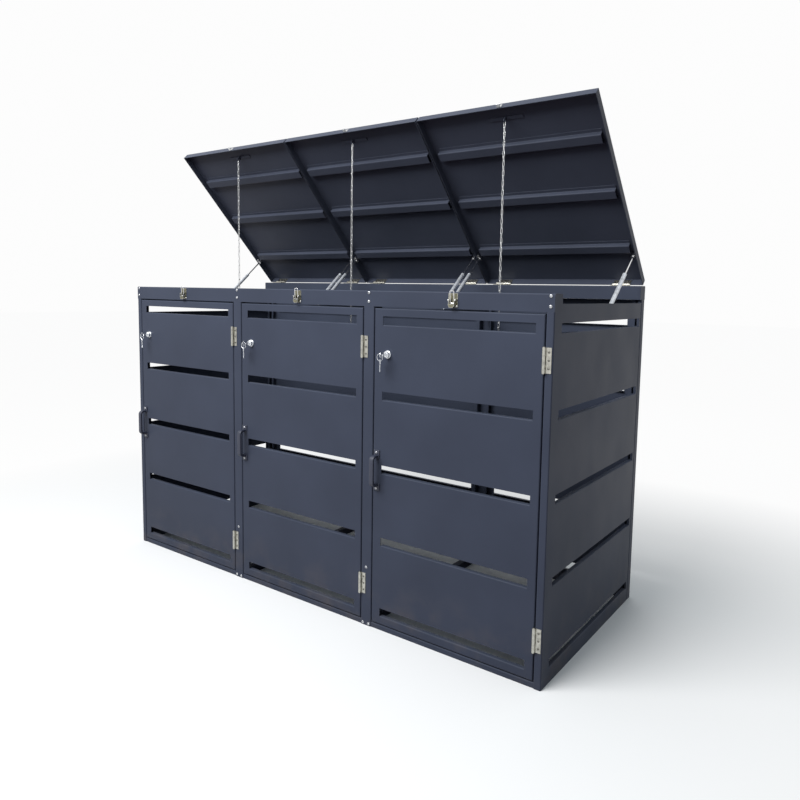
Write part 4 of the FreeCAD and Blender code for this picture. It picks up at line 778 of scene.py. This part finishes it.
def seen_share(tree):
    """1 where the camera, a reflection or glass looks, 0 for light that only bounces."""
    path = tree.nodes.new("ShaderNodeLightPath")
    total = path.outputs["Is Camera Ray"]
    for label in ("Is Glossy Ray", "Is Transmission Ray"):
        add = tree.nodes.new("ShaderNodeMath")
        add.operation = "MAXIMUM"
        tree.links.new(total, add.inputs[0])
        tree.links.new(path.outputs[label], add.inputs[1])
        total = add.outputs[0]
    return total


def studio_world(colour, strength, seen_strength):
    """Even sky light; the camera and reflections see it white."""
    world = bpy.data.worlds.new("studio")
    bpy.context.scene.world = world
    world.use_nodes = True
    tree = world.node_tree
    lit = tree.nodes["Background"]
    lit.inputs["Color"].default_value = colour
    lit.inputs["Strength"].default_value = strength
    seen = tree.nodes.new("ShaderNodeBackground")
    seen.inputs["Color"].default_value = WHITE
    seen.inputs["Strength"].default_value = seen_strength
    mix = tree.nodes.new("ShaderNodeMixShader")
    tree.links.new(seen_share(tree), mix.inputs[0])
    tree.links.new(lit.outputs[0], mix.inputs[1])
    tree.links.new(seen.outputs[0], mix.inputs[2])
    tree.links.new(mix.outputs[0], tree.nodes["World Output"].inputs["Surface"])


FLOOR_REACH = 30.0
FLOOR_BELOW = 0.0005
FLOOR_GLOW = 0.95


def studio_floor(seen, bounced, near, far):
    """A wide floor that looks pale and gives back little light; away from the store it fades to white."""
    mesh = bpy.data.meshes.new("floor")
    corners = [(-FLOOR_REACH, -FLOOR_REACH, 0), (FLOOR_REACH, -FLOOR_REACH, 0),
               (FLOOR_REACH, FLOOR_REACH, 0), (-FLOOR_REACH, FLOOR_REACH, 0)]
    mesh.from_pydata(corners, [], [(0, 1, 2, 3)])
    floor = new_object("floor", mesh)
    floor.location.z = -FLOOR_BELOW
    ground = Finish("floor", (seen, seen, seen, 1.0), 1.0)
    tree = ground.tree
    tree.nodes.remove(ground.shader)
    shown = tree.nodes.new("ShaderNodeBsdfDiffuse")
    shown.inputs["Color"].default_value = (seen, seen, seen, 1.0)
    glow = tree.nodes.new("ShaderNodeEmission")
    away = ground.place
    # The distance outside the store's own rectangle on the ground.
    footprint = (HALF_WIDTH, BACK_Y, 0.0)
    for operation, reach in (("ABSOLUTE", None), ("SUBTRACT", footprint), ("MAXIMUM", (0, 0, 0)),
                             ("LENGTH", None)):
        step = tree.nodes.new("ShaderNodeVectorMath")
        step.operation = operation
        ground.link(away, step.inputs[0])
        if reach:
            step.inputs[1].default_value = reach
        away = step.outputs["Value" if operation == "LENGTH" else "Vector"]
    fade = tree.nodes.new("ShaderNodeMixShader")
    ground.link(ground.ramp(away, near, far, 0.0, FLOOR_GLOW), fade.inputs[0])
    ground.link(shown.outputs[0], fade.inputs[1])
    ground.link(glow.outputs[0], fade.inputs[2])
    dim = tree.nodes.new("ShaderNodeBsdfDiffuse")
    dim.inputs["Color"].default_value = bounced
    mix = tree.nodes.new("ShaderNodeMixShader")
    ground.link(seen_share(tree), mix.inputs[0])
    ground.link(dim.outputs[0], mix.inputs[1])
    ground.link(fade.outputs[0], mix.inputs[2])
    ground.link(mix.outputs[0], tree.nodes["Material Output"].inputs["Surface"])
    mesh.materials.append(ground.material)


camera(place=Vector((1.8346, FRONT_Y - 1.8202, 1.1889)), yaw=math.radians(35.435),
       pitch=math.radians(5.730), roll=math.radians(1.018), focal_pixels=685.5, centre=(415.57, 361.10))
softbox("window", place=(-0.7, MIDDLE_Y - 3.1, 3.7), aim=(0.3, MIDDLE_Y, 1.7),
        width=3.2, height=2.2, power=240.0)
softbox("back_fill", place=(-1.0, MIDDLE_Y + 4.0, 3.4), aim=(0.0, MIDDLE_Y, 0.9),
        width=3.0, height=2.4, power=30.0)
studio_world(colour=(0.86, 0.95, 1.0, 1.0), strength=0.40, seen_strength=0.98)
studio_floor(seen=0.94, bounced=(0.17, 0.12, 0.13, 1.0), near=0.02, far=1.8)

bpy.context.scene.view_settings.view_transform = "Standard"
